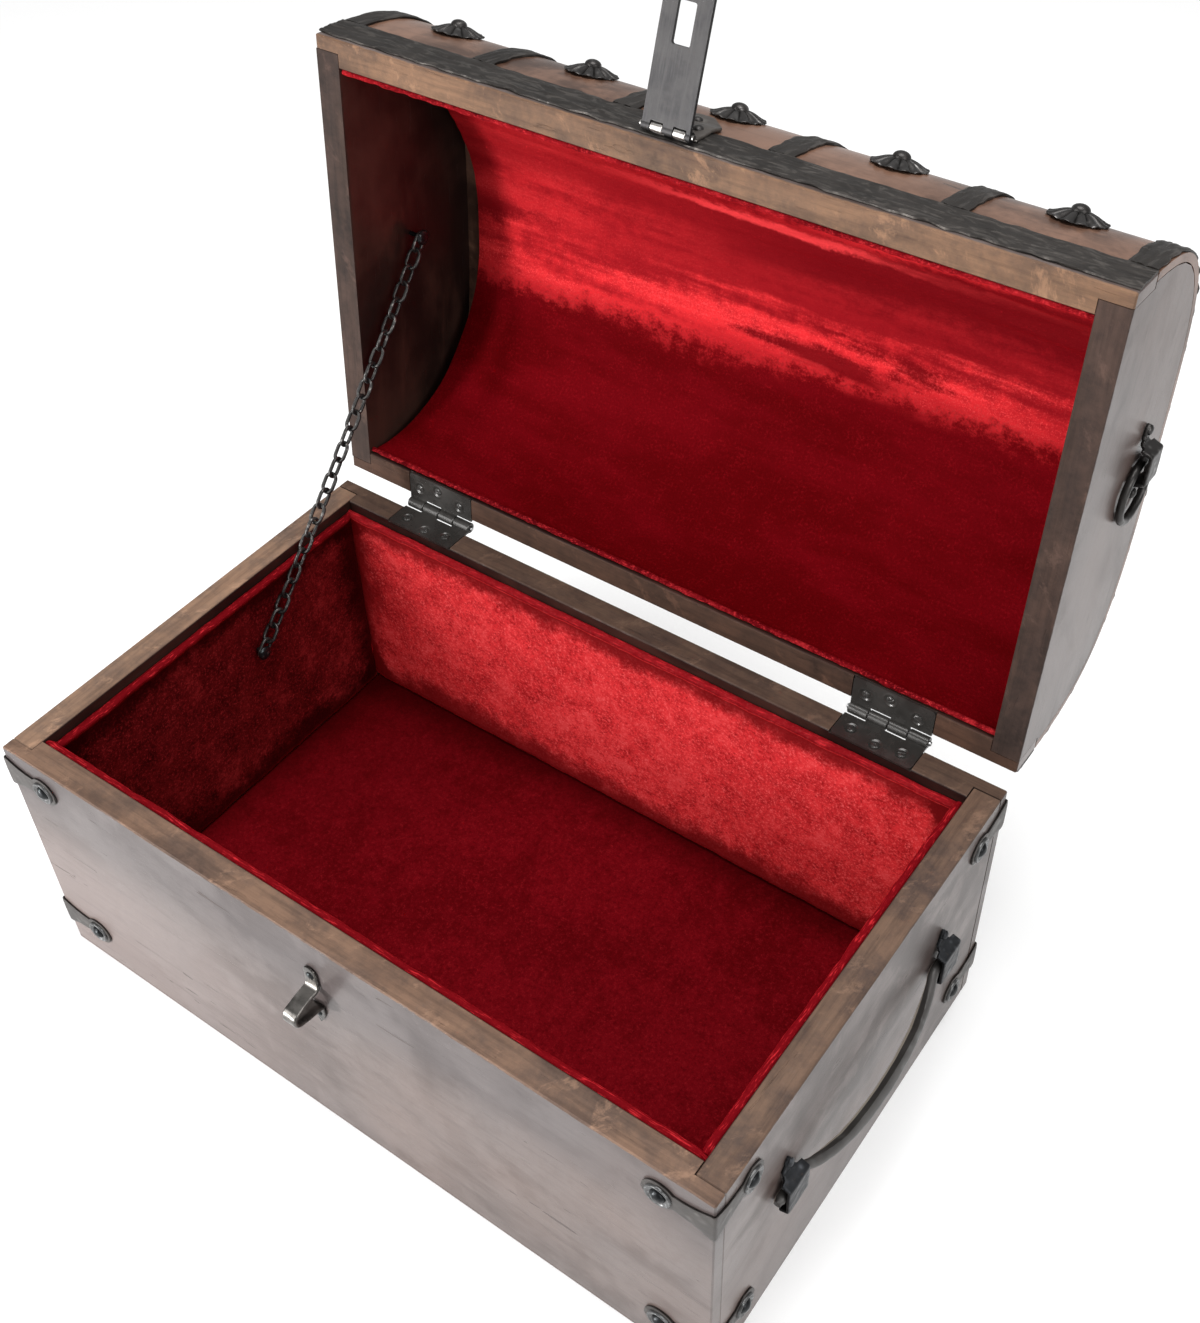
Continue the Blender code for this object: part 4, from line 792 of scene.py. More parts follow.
def dome(radius, height, base=0.0, foot=0.0, steps=9):
    """The profile of a round head on a short shank."""
    rise = [(radius * math.sin(QUARTER * i / steps), base + height * math.cos(QUARTER * i / steps))
            for i in range(steps + 1)]
    return rise + [(radius * 0.98, foot), (0, foot)]


def in_metres(form):
    """Pairs that are written down in millimetres."""
    return [(first / 1000, second / 1000) for first, second in form]


def joined(*pieces):
    chosen(*pieces)
    bpy.ops.object.join()
    return pieces[0]


def copied(piece, name, matrix):
    """A copy with its own mesh, moved or mirrored."""
    copy = bpy.data.objects.new(name, piece.data.copy())
    copy.data.name = name
    bpy.context.scene.collection.objects.link(copy)
    copy.data.transform(matrix)
    if matrix.determinant() < 0:
        copy.data.flip_normals()
    return copy


def removed(*pieces):
    for piece in pieces:
        bpy.data.objects.remove(piece, do_unlink=True)


def petals(radius, height, angle):
    """Draw a dome in along the valleys between twelve petals."""
    valley = 1 - abs(math.cos(6 * angle)) ** 0.6
    out = radius / ROSETTE_RADIUS
    return radius - 0.0014 * valley * out ** 2, max(height - 0.0017 * valley * out ** 0.7, 0)


def barrel_reach(up):
    """How far out the barrel is at a height over the lid's rim, as a share of its foot."""
    return (1 - (up / BARREL_RISE) ** BARREL_POWER) ** (1 / BARREL_POWER)


black_lid = iron("black_iron_lid", (0.028, 0.026, 0.025), (0.12, 0.115, 0.112), gloss=0.34, dents=40,
                 lid=True, depth=0.00025)
rosette = joined(turned("rosette", in_metres(PETAL_FORM), 144, petals),
                 turned("rosette_nail", dome(0.0042, 0.0028, 0.004, 0.002), 28))
reach = barrel_reach(ROSETTE_RISE)
steepness = (ROSETTE_RISE / BARREL_RISE) ** BARREL_POWER / ROSETTE_RISE
tilt = math.atan2(steepness, reach ** (BARREL_POWER - 1) / HALF_DEPTH)
shoulder = Matrix.Rotation(-tilt, 4, "X") @ FACING_FRONT
outward = (shoulder @ Vector((0, 0, 1))).normalized()
for number in range(5):
    foot = Vector(((number - 2) * ROSETTE_PITCH, -reach * HALF_DEPTH, LID_RIM + ROSETTE_RISE)) + outward * FIT
    place = Matrix.Translation(foot) @ shoulder @ Matrix.Rotation(0.35 * number + 0.1, 4, "Z")
    name = f"rosette_{number + 1}"
    dressed(copied(rosette, f"iron_{name}", place), black_lid, "lid", name, sharp=60)
removed(rosette)

# The corner brackets. Eight straps of thin sheet iron are bent round the corners, with a round end on
# each face, a dished washer and a domed black nail. One is modelled and the others are its mirrors.
FACING_RIGHT = Matrix(((0, 0, 1), (1, 0, 0), (0, 1, 0))).to_4x4()
BRACKET_THICK = 0.001
BRACKET_BEND = 0.0016
DISC_MIDDLE = 0.028
DISC_RADIUS = 0.0086
CORNER_X = HALF_LENGTH + FIT + BRACKET_THICK
CORNER_Y = HALF_DEPTH + FIT + BRACKET_THICK
WIDTHS = in_metres(((0, 9.5), (3, 9.4), (6, 8.1), (9, 7), (15, 5.8), (20, 5.4), (24, 5.2)))
WASHER_FORM = ((0, 0.35), (3.6, 0.3), (4.6, 0.45), (5.4, 0.95), (5.9, 1.2), (6.3, 1.15), (6.6, 0.8),
               (6.6, 0), (0, -0.3))


def strap(name, stations, relief, grain=12, edge=0.0003):
    """A flat bar laid along stations of (place, across, out, half width, thickness)."""
    ring = [(-1 + 2 * i / grain, edge if i in (0, grain) else 0, 0) for i in range(grain + 1)]
    ring += [(1, 0, 0.25), (1, 0, 0.75), (1, edge, 1), (0, 0, 1), (-1, edge, 1), (-1, 0, 0.75), (-1, 0, 0.25)]
    ring.append(ring[0])

    def place(u, v):
        at = round(u * (len(stations) - 1))
        origin, across, out, half, thick = stations[at]
        side, inset, depth = ring[round(v * (len(ring) - 1))]
        lift = relief(at, side, depth) - depth * thick
        return Vector(origin) + across * side * max(half - inset, 0) + out * lift

    return laid(name, len(stations) - 1, len(ring) - 1, place, wrap=True)


def bracket_width(back):
    """Half the bracket's height at a distance back from the corner."""
    half = 0.0
    for (a, wide), (b, narrow) in zip(WIDTHS, WIDTHS[1:]):
        if a <= back <= b:
            half = between(wide, narrow, (back - a) / (b - a))
    disc = DISC_RADIUS ** 2 - (back - DISC_MIDDLE) ** 2
    return max(half, math.sqrt(disc) if disc > 0 else 0)


def station(x, y, out_x, out_y, half):
    return (x, y, 0), Vector((0, 0, 1)), Vector((out_x, out_y, 0)).normalized(), half, BRACKET_THICK


def beaten(at, side, depth):
    return 0.00012 * rough(at * 0.21, side * 2.2, 3) - (0.0002 * abs(side) ** 4 if depth == 0 else 0)


backs = [0.001 * i for i in range(2, 20)]
backs += [DISC_MIDDLE + DISC_RADIUS * math.sin(-1.25 + (1.25 + QUARTER) * i / 22) for i in range(23)]
stations = [station(CORNER_X - back, -CORNER_Y, 0, -1, bracket_width(back)) for back in reversed(backs)]
for share in (i / 6 for i in range(7)):
    x, y = CORNER_X - BRACKET_BEND * (1 - share) ** 2, -CORNER_Y + BRACKET_BEND * share ** 2
    stations.append(station(x, y, share, share - 1, 0.0095))
stations += [station(CORNER_X, -CORNER_Y + back, 1, 0, bracket_width(back)) for back in backs]
plate = strap("bracket_plate", stations, beaten)
faces = (
    Matrix.Translation((CORNER_X - DISC_MIDDLE, -CORNER_Y, 0)) @ FACING_FRONT,
    Matrix.Translation((CORNER_X, DISC_MIDDLE - CORNER_Y, 0)) @ FACING_RIGHT,
)
washers = joined(*[turned("bracket_washer", in_metres(WASHER_FORM), 40, at=face) for face in faces])
heads = joined(*[turned("bracket_nail", dome(0.0039, 0.0025, 0.0003), 28, at=face) for face in faces])
sheet_iron = iron("sheet_iron", (0.052, 0.047, 0.044), (0.11, 0.1, 0.093), gloss=0.42, dents=24, depth=0.0002)
washer_iron = iron("washer_iron", (0.08, 0.08, 0.08), (0.26, 0.27, 0.275), gloss=0.3, dents=70)
nail_iron = iron("nail_iron", (0.012, 0.013, 0.014), (0.09, 0.11, 0.11), gloss=0.26)
for level, height in (("top", 0.145), ("bottom", 0.027)):
    for depth_name, flip_y in (("front", 1), ("back", -1)):
        for side_name, flip_x in (("left", -1), ("right", 1)):
            node = f"corner_bracket_{depth_name}_{side_name}_{level}"
            place = Matrix.Translation((0, 0, height)) @ Matrix.Diagonal((flip_x, flip_y, 1, 1))
            dressed(copied(plate, f"plate_{node}", place), sheet_iron, "box", node, sharp=50)
            dressed(copied(washers, f"washer_{node}", place), washer_iron, "box", slot=node)
            dressed(copied(heads, f"nail_{node}", place), nail_iron, "box", slot=node)
removed(plate, washers, heads)

# The carrying handles. A forged bail, flat above and round below, swings in two bent straps on each
# end of the box. Each strap ends in a narrow, ragged foot under a small round nail.
SADDLE_THICK = 0.0018
HANDLE_HEIGHT = 0.094
HANDLE_REST = math.radians(33)
KNEE, REACH, DROP = 0.0605, 0.0835, 0.014
SIDES = (("left", -1), ("right", 1))


def bent(name, path, form, count, relief, rounds=3, **looks):
    """A strap bent along a path of (along, out); form(along, out) is half its width, and its thickness."""
    for _ in range(rounds):
        cut = [path[0]]
        for a, b in zip(path, path[1:]):
            cut += [tuple(between(p, q, share) for p, q in zip(a, b)) for share in (0.25, 0.75)]
        path = cut + [path[-1]]
    points, _ = spaced(path, count)
    stations = []
    for i, point in enumerate(points):
        before, after = points[max(i - 1, 0)], points[min(i + 1, count)]
        out = Vector((0, before[1] - after[1], after[0] - before[0])).normalized()
        if out.z < 0:
            out = -out
        stations.append(((0, *point), Vector((1, 0, 0)), out, *form(*point)))
    return strap(name, stations, relief, **looks)


def saddle(name, length, bridge, clear, width, foot):
    """A saddle that lies along Y and bridges a bar, with its underside on Z 0."""
    low, high = FIT + SADDLE_THICK, clear + SADDLE_THICK
    half = bridge / 2
    side = [(length / 2, low), (half + 0.0026, low), (half + 0.0008, low),
            (half - 0.0004, between(low, high, 0.3)), (half - 0.0014, between(low, high, 0.8)),
            (half - 0.0022, high), (half - 0.0046, high)]
    path = side + [(-along, out) for along, out in reversed(side)]

    def form(along, out):
        past = abs(along) - half
        if past <= 0:
            return width / 2 * (1 + 0.02 * rough(along * 200, width * 99)), SADDLE_THICK
        taper = past / (length / 2 - half)
        full = between(width / 2 * 0.62, foot / 2 * 0.75, min(1, taper * 1.8))
        ragged = 1 + 0.34 * rough(along * 800, width * 50) * min(1, taper * 5)
        return full * ragged * math.sqrt(max(0, 1 - max(0, taper - 0.75) ** 2 * 15.9)), SADDLE_THICK

    def hammered(at, side, depth):
        eased = 0.0002 * abs(side) ** 8 if depth == 0 else 0
        return 0.00007 * rough(at * 0.14, side * 2, width * 100) - eased

    piece = bent(name, path, form, 90, hammered)
    feet = [Matrix.Translation((0, end * (length / 2 - 0.0029), low)) for end in (-1, 1)]
    return joined(piece, *[turned("foot_nail", dome(0.0025, 0.0016), 20, at=foot) for foot in feet])


def tube(name, points, sides, section, ref=(0, 0, 1), closed=False):
    """A bar along a path; section(share, angle) gives how far its skin is sideways and up."""
    points = [Vector(p) for p in points]
    last = len(points) - (0 if closed else 1)
    ref = Vector(ref)

    def place(u, v):
        at = round(u * last)
        near, far = (at - 1, at + 1) if closed else (max(at - 1, 0), min(at + 1, last))
        run = (points[far % len(points)] - points[near % len(points)]).normalized()
        a, b = section(at / last, 2 * math.pi * v)
        return points[at % len(points)] + ref.cross(run).normalized() * a + ref * b

    return laid(name, last, sides, place, wrap=not closed)


def forged(share, angle):
    """Flat above with an edge on each side, rounded below, and fullest in the middle."""
    along = (2 * share - 1) * 1.42
    full = max(0, 1 - along * along) ** 1.1
    radius = between(0.0025, 0.005, full) * (1 + 0.03 * rough(share * 26, 7))
    if min(share, 1 - share) < 0.008:
        radius *= 0.75
    a, b = radius * math.cos(angle), radius * math.sin(angle) * between(1, 0.5, full)
    return min(a, radius * between(1, 0.32, min(1, full * 1.6))), b


pattern = saddle("saddle", 0.042, 0.022, 0.0064, 0.017, 0.0054)
saddle_look = iron("saddle_iron", (0.018, 0.019, 0.021), (0.075, 0.08, 0.088), gloss=0.42, dents=45)
for side_name, flip_x in SIDES:
    for end_name, flip_y in (("front", -1), ("back", 1)):
        place = Matrix.Translation((HALF_LENGTH, 0.072, HANDLE_HEIGHT)) @ FACING_RIGHT
        node = f"handle_{side_name}_saddle_{end_name}"
        piece = copied(pattern, f"iron_{node}", Matrix.Diagonal((flip_x, flip_y, 1, 1)) @ place)
        dressed(piece, saddle_look, "box", node, sharp=50)
removed(pattern)
tip = [(0, -REACH + 0.0012 * i, 0) for i in range(18)]
shares = [-1 + 2 * i / 100 for i in range(1, 100)]
sag = [(0, KNEE * share, -DROP * (1 - share ** 2) ** 0.7) for share in shares]
bail = tube("bail", tip + sag + [(0, -y, 0) for _, y, _ in reversed(tip)], 32, forged, (1, 0, 0))
# The bail's edge value paints a highlight along one edge of the bar.
bail_look = iron("bail_iron", (0.045, 0.042, 0.04), (0.09, 0.09, 0.088), gloss=0.42, metal=0.35, dents=22,
                 depth=0.0002, edge=0.865)
for side_name, flip_x in SIDES:
    place = Matrix.Diagonal((flip_x, 1, 1, 1)) @ Matrix.Translation((HALF_LENGTH + 0.0034, 0, HANDLE_HEIGHT))
    node = f"handle_{side_name}_bail"
    piece = copied(bail, f"iron_{node}", place @ Matrix.Rotation(-HANDLE_REST, 4, "Y"))
    dressed(piece, bail_look, f"handle_{side_name}", node, sharp=38)
removed(bail)

# The ring pulls. A loose ring of thick round wire hangs in a saddle with pointed feet on each end of
# the lid. The saddle lies along the depth, so that it stands upright on the open lid.
TO_X = Matrix.Rotation(QUARTER, 4, "Y")
RING = 0.0155
RING_PLACE = Vector((HALF_LENGTH, HALF_DEPTH - 0.147, LID_RIM + 0.066))


def ring_wire(share, angle):
    turn = share * 2 * math.pi
    radius = 0.002 * (1 + 0.03 * rough(math.cos(turn) * 6, math.sin(turn) * 6))
    return radius * math.cos(angle), radius * math.sin(angle)


pattern = saddle("ring_saddle", 0.04, 0.02, 0.0067, 0.014, 0.006)
turns = [2 * math.pi * i / 72 for i in range(72)]
ring = tube("ring", [(RING * math.cos(t), RING * math.sin(t), 0) for t in turns], 20, ring_wire, closed=True)
for side_name, flip_x in SIDES:
    flip = Matrix.Diagonal((flip_x, 1, 1, 1))
    place = flip @ Matrix.Translation(RING_PLACE) @ FACING_RIGHT @ Matrix.Rotation(QUARTER, 4, "Z")
    node = f"ring_saddle_{side_name}"
    dressed(copied(pattern, f"iron_{node}", place), black_lid, "lid", node, sharp=50)
    place = flip @ Matrix.Translation(RING_PLACE + Vector((0.0025, RING, 0))) @ TO_X
    node = f"ring_pull_{side_name}"
    dressed(copied(ring, f"iron_{node}", place), black_lid, f"ring_{side_name}", node)
removed(pattern, ring)

# The hinges. Two butt hinges of satin black sheet are let in flush to both rims, each leaf rolled into
# two of the four knuckles and held by three low round-headed screws in pressed dents.
KNUCKLE = 0.0032
PIN = 0.0013
LEAF_HALF = 0.02275
LEAF_DEPTH = 0.0192
LEAF_CORNER = 0.0022
KNUCKLE_STEP = LEAF_HALF / 2
LEAVES = (
    ("box", 1, 1, in_metres(((-14.6, 7.6), (0.6, 4.6), (14.4, 6.8)))),
    ("lid", 0, -1, in_metres(((-15.2, 8.6), (-1.8, 5.2), (14, 9)))),
)


def leaf_plate(name, screws, seed):
    """A leaf that lies along X and back along -Y from its knuckles, with its face up on Z 0."""

    def face(u, v):
        x, y = between(-LEAF_HALF, LEAF_HALF, u), between(-LEAF_DEPTH, 0.0008, v)
        past = max(0, abs(x) - (LEAF_HALF - LEAF_CORNER)), max(0, -y - (LEAF_DEPTH - LEAF_CORNER))
        away = math.hypot(*past)
        if away > LEAF_CORNER:
            x -= math.copysign(past[0] * (1 - LEAF_CORNER / away), x)
            y += past[1] * (1 - LEAF_CORNER / away)
        z = 0.00006 * rough(x * 200, y * 200, seed)
        for along, back in screws:
            near = math.hypot(x - along, y + LEAF_DEPTH - back)
            pressed = 0.0004 * (1 - min(1, max(0, (near - 0.0023) / 0.0011)))
            z -= pressed - 0.00012 * math.exp(-((near - 0.0037) / 0.0005) ** 2)
        return x, y, z

    plate = laid(name, 150, 62, face)
    raised = plate.data.polygons[len(plate.data.polygons) // 2].normal.z
    modifier(plate, "SOLIDIFY", thickness=0.0012, offset=-math.copysign(1, raised))
    plate.data.transform(Matrix.Translation((0, -0.0008, 0)))
    return plate


def slotted(radius, height, angle):
    """The worn slot of a screw's head."""
    cut = 0.00025 if radius * abs(math.sin(angle)) < 0.00035 and height > 0 else 0
    return radius, height - cut


def knuckle(start, stop, at):
    """A rolled knuckle with eased ends."""
    bore, eased = PIN + 0.0003, KNUCKLE - 0.0004
    profile = [(bore, start), (eased, start), (KNUCKLE, start + 0.0004)]
    profile += [(KNUCKLE, between(start, stop, i / 8)) for i in range(1, 8)]
    profile += [(KNUCKLE, stop - 0.0004), (eased, stop), (bore, stop), (bore, start)]
    return turned("knuckle", profile, 40, at=at)


def carved(piece, centre, size, bevel=0):
    """Cut a block, with rounded edges if asked, out of a piece."""
    bpy.ops.mesh.primitive_cube_add(size=1)
    block = bpy.context.object
    block.data.transform(Matrix.Translation(centre) @ Matrix.Diagonal((*size, 1)))
    if bevel:
        modifier(block, "BEVEL", width=bevel, segments=4)
    modifier(piece, "BOOLEAN", operation="DIFFERENCE", solver="EXACT", object=block)
    removed(block)


satin = {"gloss": 0.22, "metal": 0.3, "dents": 20, "depth": 0.0001}
leaf_looks = {
    "box": iron("hinge_black", (0.026, 0.024, 0.022), (0.045, 0.042, 0.04), **satin),
    "lid": iron("hinge_black_lid", (0.026, 0.024, 0.022), (0.044, 0.041, 0.038), lid=True, **satin),
}
screw_look = iron("screw_black", (0.032, 0.03, 0.028), (0.09, 0.09, 0.088), gloss=0.26, metal=0.4, dents=90)
pin_look = iron("pin_steel", (0.3, 0.3, 0.3), (0.6, 0.6, 0.58), gloss=0.25, metal=1, dents=80)
screw = turned("screw", dome(0.0023, 0.0007, -0.0003, -0.0008), 48, slotted)
for hinge_name, middle in (("left", -0.147), ("right", 0.147)):
    axis = Matrix.Translation((middle, HINGE.y, HINGE.z))
    for body, own, flip, screws in LEAVES:
        node = f"hinge_{hinge_name}_{body}_leaf"
        mirror = axis @ Matrix.Diagonal((1, 1, flip, 1)) @ Matrix.Translation((0, 0, -0.0005))
        plate = leaf_plate(f"plate_{node}", screws, middle * 50 + own)
        rolls = []
        for number in range(4):
            start = -LEAF_HALF + number * LEAF_HALF / 2
            if number % 2 == own:
                stop = start + KNUCKLE_STEP - 0.00018
                rolls.append(knuckle(start + 0.00018, stop, axis @ TO_X))
            else:
                carved(plate, (start + KNUCKLE_STEP / 2, 0.0002, 0), (KNUCKLE_STEP + FIT, 0.0092, 0.01))
        sheet = copied(plate, f"sheet_{node}", mirror)
        removed(plate)
        dressed(joined(sheet, *rolls), leaf_looks[body], body, node, sharp=40)
        heads = []
        for number, (along, back) in enumerate(screws):
            turn = Matrix.Rotation(number * 1.1 + middle * 9, 4, "Z")
            place = mirror @ Matrix.Translation((along, back - 0.02, -0.0001)) @ turn
            heads.append(copied(screw, f"screw_{node}_{number}", place))
        dressed(joined(*heads), screw_look, body, slot=node)
    node = f"hinge_{hinge_name}_pin"
    length = LEAF_HALF + 0.0012
    profile = [(0, -length), (PIN * 0.7, -length), (PIN, -length + 0.0004)]
    profile += [(radius, -along) for radius, along in reversed(profile)]
    dressed(turned(f"steel_{node}", profile, 24, at=axis @ TO_X), pin_look, "box", node)
removed(screw)

# The hasp. A grey brushed strap with rounded corners and a slot swings on a nailed black plate. The
# plate's two bright knuckles show through windows in the strap's rolled end.
HASP_AXIS = Vector((-0.006, -HALF_DEPTH - 0.0046, LID_RIM + 0.0038))
HASP_OPEN = LID_OPEN @ Matrix.Translation(HASP_AXIS) @ Matrix.Rotation(-math.radians(104), 4, "X")
HASP_OPEN = HASP_OPEN @ Matrix.Translation(-HASP_AXIS)
HASP_HALF = 0.013
HASP_ROUND = 0.009
HASP_STRAIGHT = 0.059
HASP_ROLL = 0.0024
SLOT_DROP = 0.04555
WINDOWS = [(middle - 0.0032, middle + 0.0032) for middle in (-0.00494, 0.00728)]
PLATE_THICK = 0.0016
PLATE_HALF = 0.014
PLATE_SIDE = 0.0237


def brushed(name, dark, pale, gloss, turn=0.0, rust=0.25):
    """Steel brushed along its length, with grey scale, specks and a few bright scratches."""
    finish = Finish(name, metallic=1)
    spread = finish.place()
    line = finish.noise(finish.place((1, 0.07, 0.07), (0, turn, 0)), 900, 4, 0.6)
    scratch = finish.noise(finish.place((1, 0.05, 0.05), (0, 0.2, 0.9)), 240, 2, 0.5).ramp(0.72, 0.76)
    cloud, speck = finish.noises(spread, (70, 5, 0.62), (600, 2, 0.5))
    colour = finish.layered(
        dark,
        (cloud.ramp(0.36, 0.66), pale),
        (line.ramp(0.4, 0.7) * 0.4, tinted(pale, 1.25)),
        (speck.ramp(0.64, 0.72) * rust, (0.05, 0.04, 0.035)),
        (scratch * 0.6, (0.7, 0.7, 0.7)),
    )
    relief = line * 0.6 + cloud * 0.5 - scratch * 0.3
    return finish.surface(colour, relief, 0.00015, 0.6, Roughness=gloss + cloud * 0.16 - scratch * 0.1)


def dimpled(depth, pace, across, seed):
    """A relief of slow dimples along a strap."""
    return lambda at, side, _: depth * rough(at * pace, side * across, seed)


def round_wire(radius):
    return lambda share, angle: (radius * math.cos(angle), radius * math.sin(angle))


def hasp_station(down):
    past = max(down - HASP_STRAIGHT, 0)
    half = HASP_HALF - HASP_ROUND + math.sqrt(max(HASP_ROUND ** 2 - past ** 2, 0))
    return HASP_AXIS - Vector((0, 0, down)), Vector((1, 0, 0)), Vector((0, -1, 0)), half, 0.002


def plate_face(up):
    """How far the plate's face stands out from the rail, over the edge band and up the barrel."""
    if up < 0.02:
        return FIT + BAND_THICK + FIT + PLATE_THICK
    return HALF_DEPTH * barrel_reach(HASP_AXIS.z - LID_RIM + up) - HALF_DEPTH + FIT + PLATE_THICK


def plate_form(up, out):
    if up < PLATE_SIDE:
        return PLATE_HALF * (1 + 0.015 * rough(up * 300, 4)), PLATE_THICK
    return between(PLATE_HALF, 0.0045, (up - PLATE_SIDE) / 0.009), PLATE_THICK


downs = [0.0015 * i for i in range(40)]
downs += [HASP_STRAIGHT + HASP_ROUND * math.sin(QUARTER * i / 14) for i in range(15)]
hasp = strap("hasp_slab", [hasp_station(down) for down in downs], dimpled(0.00008, 0.1, 2, 9), 14)
rod = [(-HASP_HALF + HASP_HALF * i / 15, 0, 0) for i in range(31)]
roll = tube("hasp_roll", rod, 32, round_wire(HASP_ROLL))
roll.data.transform(Matrix.Translation(HASP_AXIS))
modifier(hasp, "BOOLEAN", operation="UNION", solver="EXACT", object=roll)
removed(roll)
carved(hasp, HASP_AXIS + Vector((0, 0.001, -SLOT_DROP)), (0.0096, 0.02, 0.0185), 0.0011)
for start, stop in WINDOWS:
    carved(hasp, HASP_AXIS + Vector(((start + stop) / 2, 0, 0)), (0.007, 0.0075, 0.0056), 0.0006)
hasp.data.transform(HASP_OPEN)
strap_steel = brushed("hasp_steel", (0.034, 0.033, 0.034), (0.052, 0.05, 0.05), 0.46)
dressed(hasp, strap_steel, "hasp", "hasp_strap", sharp=35)

rise = [(up, plate_face(up)) for up in (0.0, 0.010, 0.0186, 0.023, 0.028, 0.0327)]
plate = bent("hasp_plate_sheet", rise, plate_form, 60, dimpled(0.0001, 0.2, 2, 12), grain=14)
on_front = Matrix.Translation((HASP_AXIS.x, -HALF_DEPTH, HASP_AXIS.z)) @ FACING_FRONT
plate.data.transform(on_front)
edges = [-0.016, *WINDOWS[0], *WINDOWS[1], 0.016]
for start, stop in zip(edges[::2], edges[1::2]):
    carved(plate, HASP_AXIS + Vector(((start + stop) / 2, 0.0015, 0)), (stop - start, 0.0084, 0.0054))
nails = []
for along, up in ((-0.008, 0.0127), (0.008, 0.0127), (0.0, 0.0246)):
    place = on_front @ Matrix.Translation((along, up, plate_face(up)))
    nails.append(turned("hasp_nail", dome(0.0026, 0.0017, -0.0001, -0.0006), 24, at=place))
plate_iron = iron("plate_iron", (0.055, 0.048, 0.043), (0.13, 0.117, 0.106), gloss=0.4, metal=0.5, dents=24,
                  lid=True, depth=0.0002)
dressed(plate, plate_iron, "lid", "hasp_plate", sharp=45)
dressed(joined(*nails), black_lid, "lid", slot="hasp_plate")
on_axis = Matrix.Translation(HASP_AXIS) @ TO_X
eased = HASP_ROLL - 0.0003
rolls = []
for start, stop in WINDOWS:
    profile = [(0, start), (eased, start), (HASP_ROLL, start + 0.0003)]
    profile += [(HASP_ROLL, stop - 0.0003), (eased, stop), (0, stop)]
    rolls.append(turned("hasp_knuckle", profile, 36, at=on_axis))
length = HASP_HALF + 0.0012
profile = [(0, -length), (PIN, -length), (PIN, length), (0, length)]
rolls.append(turned("hasp_pin", profile, 24, at=on_axis))
bright = brushed("bright_steel", (0.22, 0.21, 0.2), (0.42, 0.4, 0.38), 0.24, rust=0.2)
dressed(joined(*rolls), bright, "lid", slot="hasp_plate")

# The staple. One strip of polished steel is bent out from its nailed upper foot into a rounded loop
# and back to its pointed lower foot.
STAPLE_THICK = 0.0021
STAPLE_HALF = 0.0041
FOOT_THICK = 0.0012
SIDE_FORM = ((21.7, 1.5), (10.5, 1.5), (7.8, 2.2), (7.2, 7.5), (5.8, 13.5), (4.6, 17.2), (1.8, 19))


def staple_form(up, out):
    if abs(up) <= 0.0085 or out >= 0.003:
        return STAPLE_HALF, STAPLE_THICK
    thick = between(STAPLE_THICK, FOOT_THICK, min(1, (abs(up) - 0.0085) / 0.002))
    if up > 0:
        return math.sqrt(max(STAPLE_HALF ** 2 - max(up - 0.0176, 0) ** 2, 0)), thick
    return between(STAPLE_HALF, 0.0002, min(1, max(0, -up - 0.0125) / 0.0092) ** 1.3), thick


side = in_metres(SIDE_FORM)
path = side + [(-up, out) for up, out in reversed(side)]
loop = bent("staple", path, staple_form, 170, dimpled(0.0001, 0.09, 1, 3), rounds=4, edge=0.0005)
on_staple = Matrix.Translation((HASP_AXIS.x, -HALF_DEPTH, HASP_AXIS.z - SLOT_DROP)) @ FACING_FRONT
loop.data.transform(on_staple)
staple_steel = brushed("staple_steel", (0.03, 0.028, 0.026), (0.16, 0.15, 0.14), 0.2, QUARTER, 0.3)
dressed(loop, staple_steel, "box", "hasp_staple", sharp=50)
nails = []
for up, radius in ((0.0157, 0.0024), (-0.0145, 0.0018)):
    place = on_staple @ Matrix.Translation((0, up, FIT + FOOT_THICK))
    nails.append(turned("staple_nail", dome(radius, 0.0009), 24, at=place))
dressed(joined(*nails), nail_iron, "box", slot="hasp_staple")

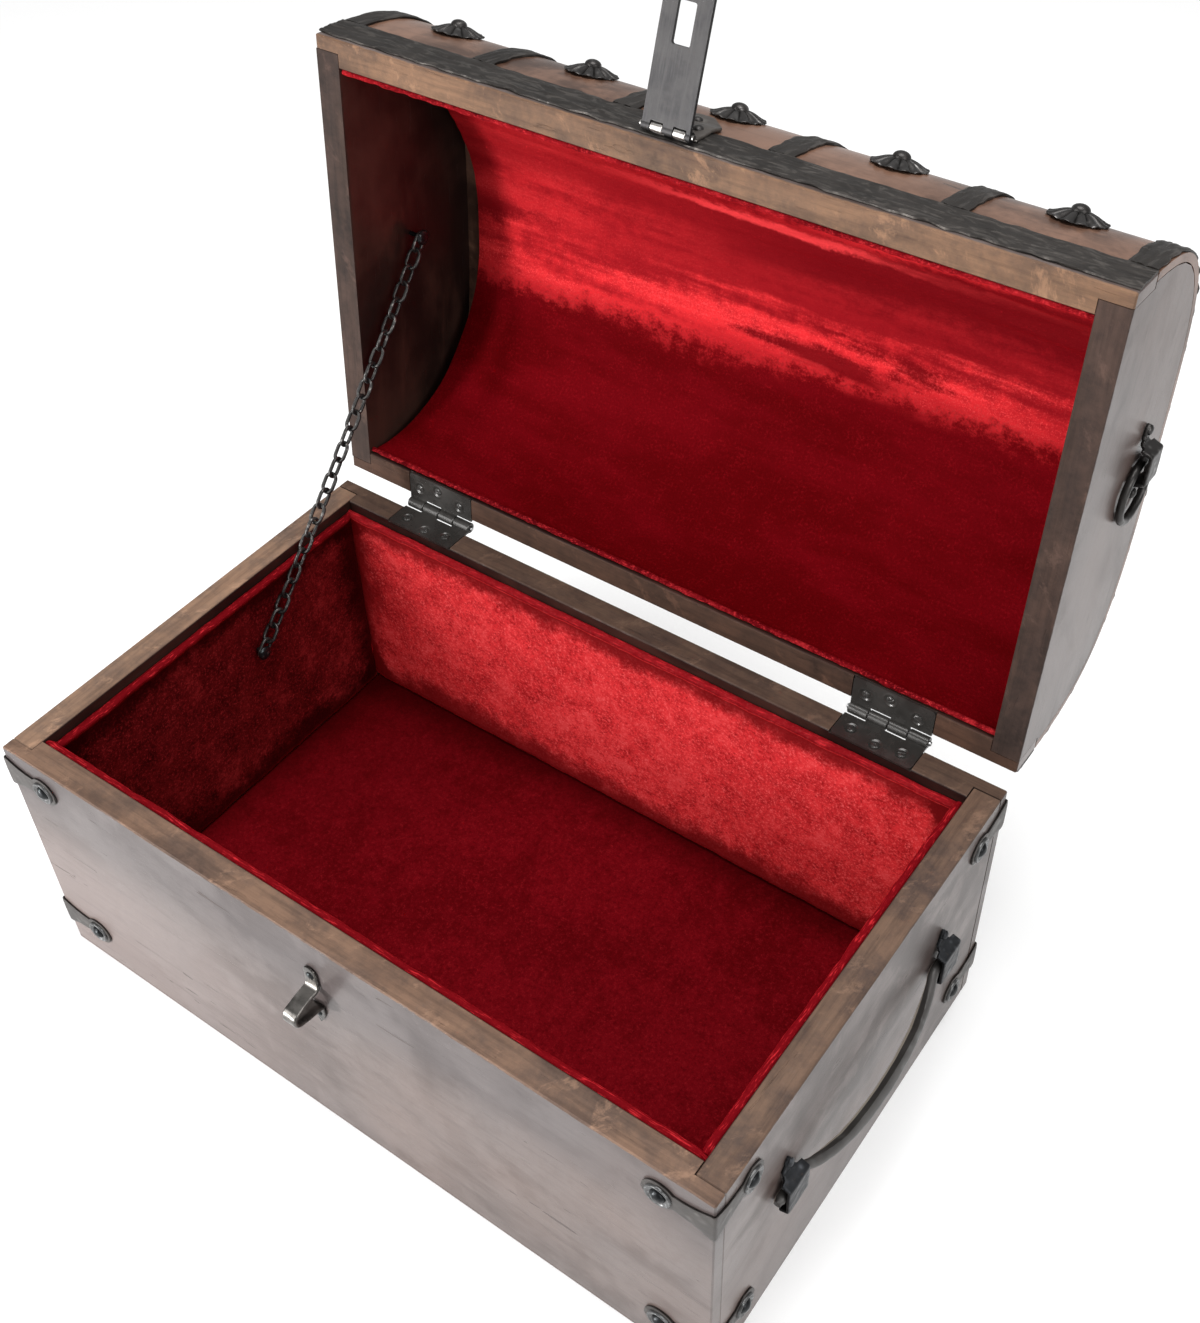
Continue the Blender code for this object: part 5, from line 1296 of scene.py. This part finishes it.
# The lid chain. Twenty-seven oval links of dark wire hang from a round-headed nail in the lid's end
# board to one in the box lining, in a lower and an upper length.
CHAIN_X = -0.1928
WIRE, LINK_HALF, BITE, SLACK = 0.00105, 0.0034, 0.00045, 0.00075
LOWER, LINKS, SAG, SHANK = 9, 27, 0.0024, 0.0013

box_nail = Vector((CHAIN_X, 0.0243, 0.1152))
lid_nail = Vector((CHAIN_X, HALF_DEPTH - 0.1379, LID_RIM + 0.0458))
top_nail = LID_OPEN @ lid_nail
span = top_nail - box_nail
on_nail = BITE / 2 + SHANK + FIT
pitch = (span.length + 2 * on_nail + SLACK) / LINKS
straight = (pitch + 2 * WIRE - BITE) / 2 - LINK_HALF
oval = []
for end in (1, -1):
    for i in range(13):
        angle = -QUARTER + math.pi * i / 12
        oval.append((end * (straight + LINK_HALF * math.cos(angle)), end * LINK_HALF * math.sin(angle), 0))
link = tube("link", oval, 12, round_wire(WIRE), closed=True)
links = []
for i in range(LINKS):
    share = ((i + 0.5) * pitch - on_nail - (SLACK if i >= LOWER else 0)) / span.length
    middle = box_nail.lerp(top_nail, share) - Vector((0, 0, 4 * SAG * share * (1 - share)))
    forward = (span - Vector((0, 0, 4 * SAG * (1 - 2 * share)))).normalized()
    side = Vector((1, 0, 0))
    lie = Matrix((forward, side.cross(forward), side)).transposed().to_4x4()
    turn = (QUARTER if i % 2 else 0) + 0.1 * math.sin(i * 2.3)
    links.append(copied(link, f"link_{i}", Matrix.Translation(middle) @ lie @ Matrix.Rotation(turn, 4, "X")))
removed(link)
chain_steel = iron("chain_steel", (0.03, 0.029, 0.028), (0.2, 0.19, 0.18), gloss=0.3, depth=0.0002)
dressed(joined(*links[:LOWER]), chain_steel, "chain_low", "chain_lower", sharp=60)
dressed(joined(*links[LOWER:]), chain_steel, "chain_high", "chain_upper", sharp=60)
head = WIRE + FIT
for body, spot, wall in (("box", box_nail, 0.0032), ("lid", lid_nail, 0)):
    name = f"chain_nail_{body}"
    base = wall + FIT - 0.2005 - CHAIN_X
    profile = dome(0.0044, 0.0022, head)[:-2]
    profile += [(0.0042, head - 0.0002), (SHANK, head), (SHANK, base), (0, base)]
    nail = turned(f"iron_{name}", profile, 32, at=Matrix.Translation(spot) @ FACING_RIGHT)
    dressed(nail, nail_iron, body, name)
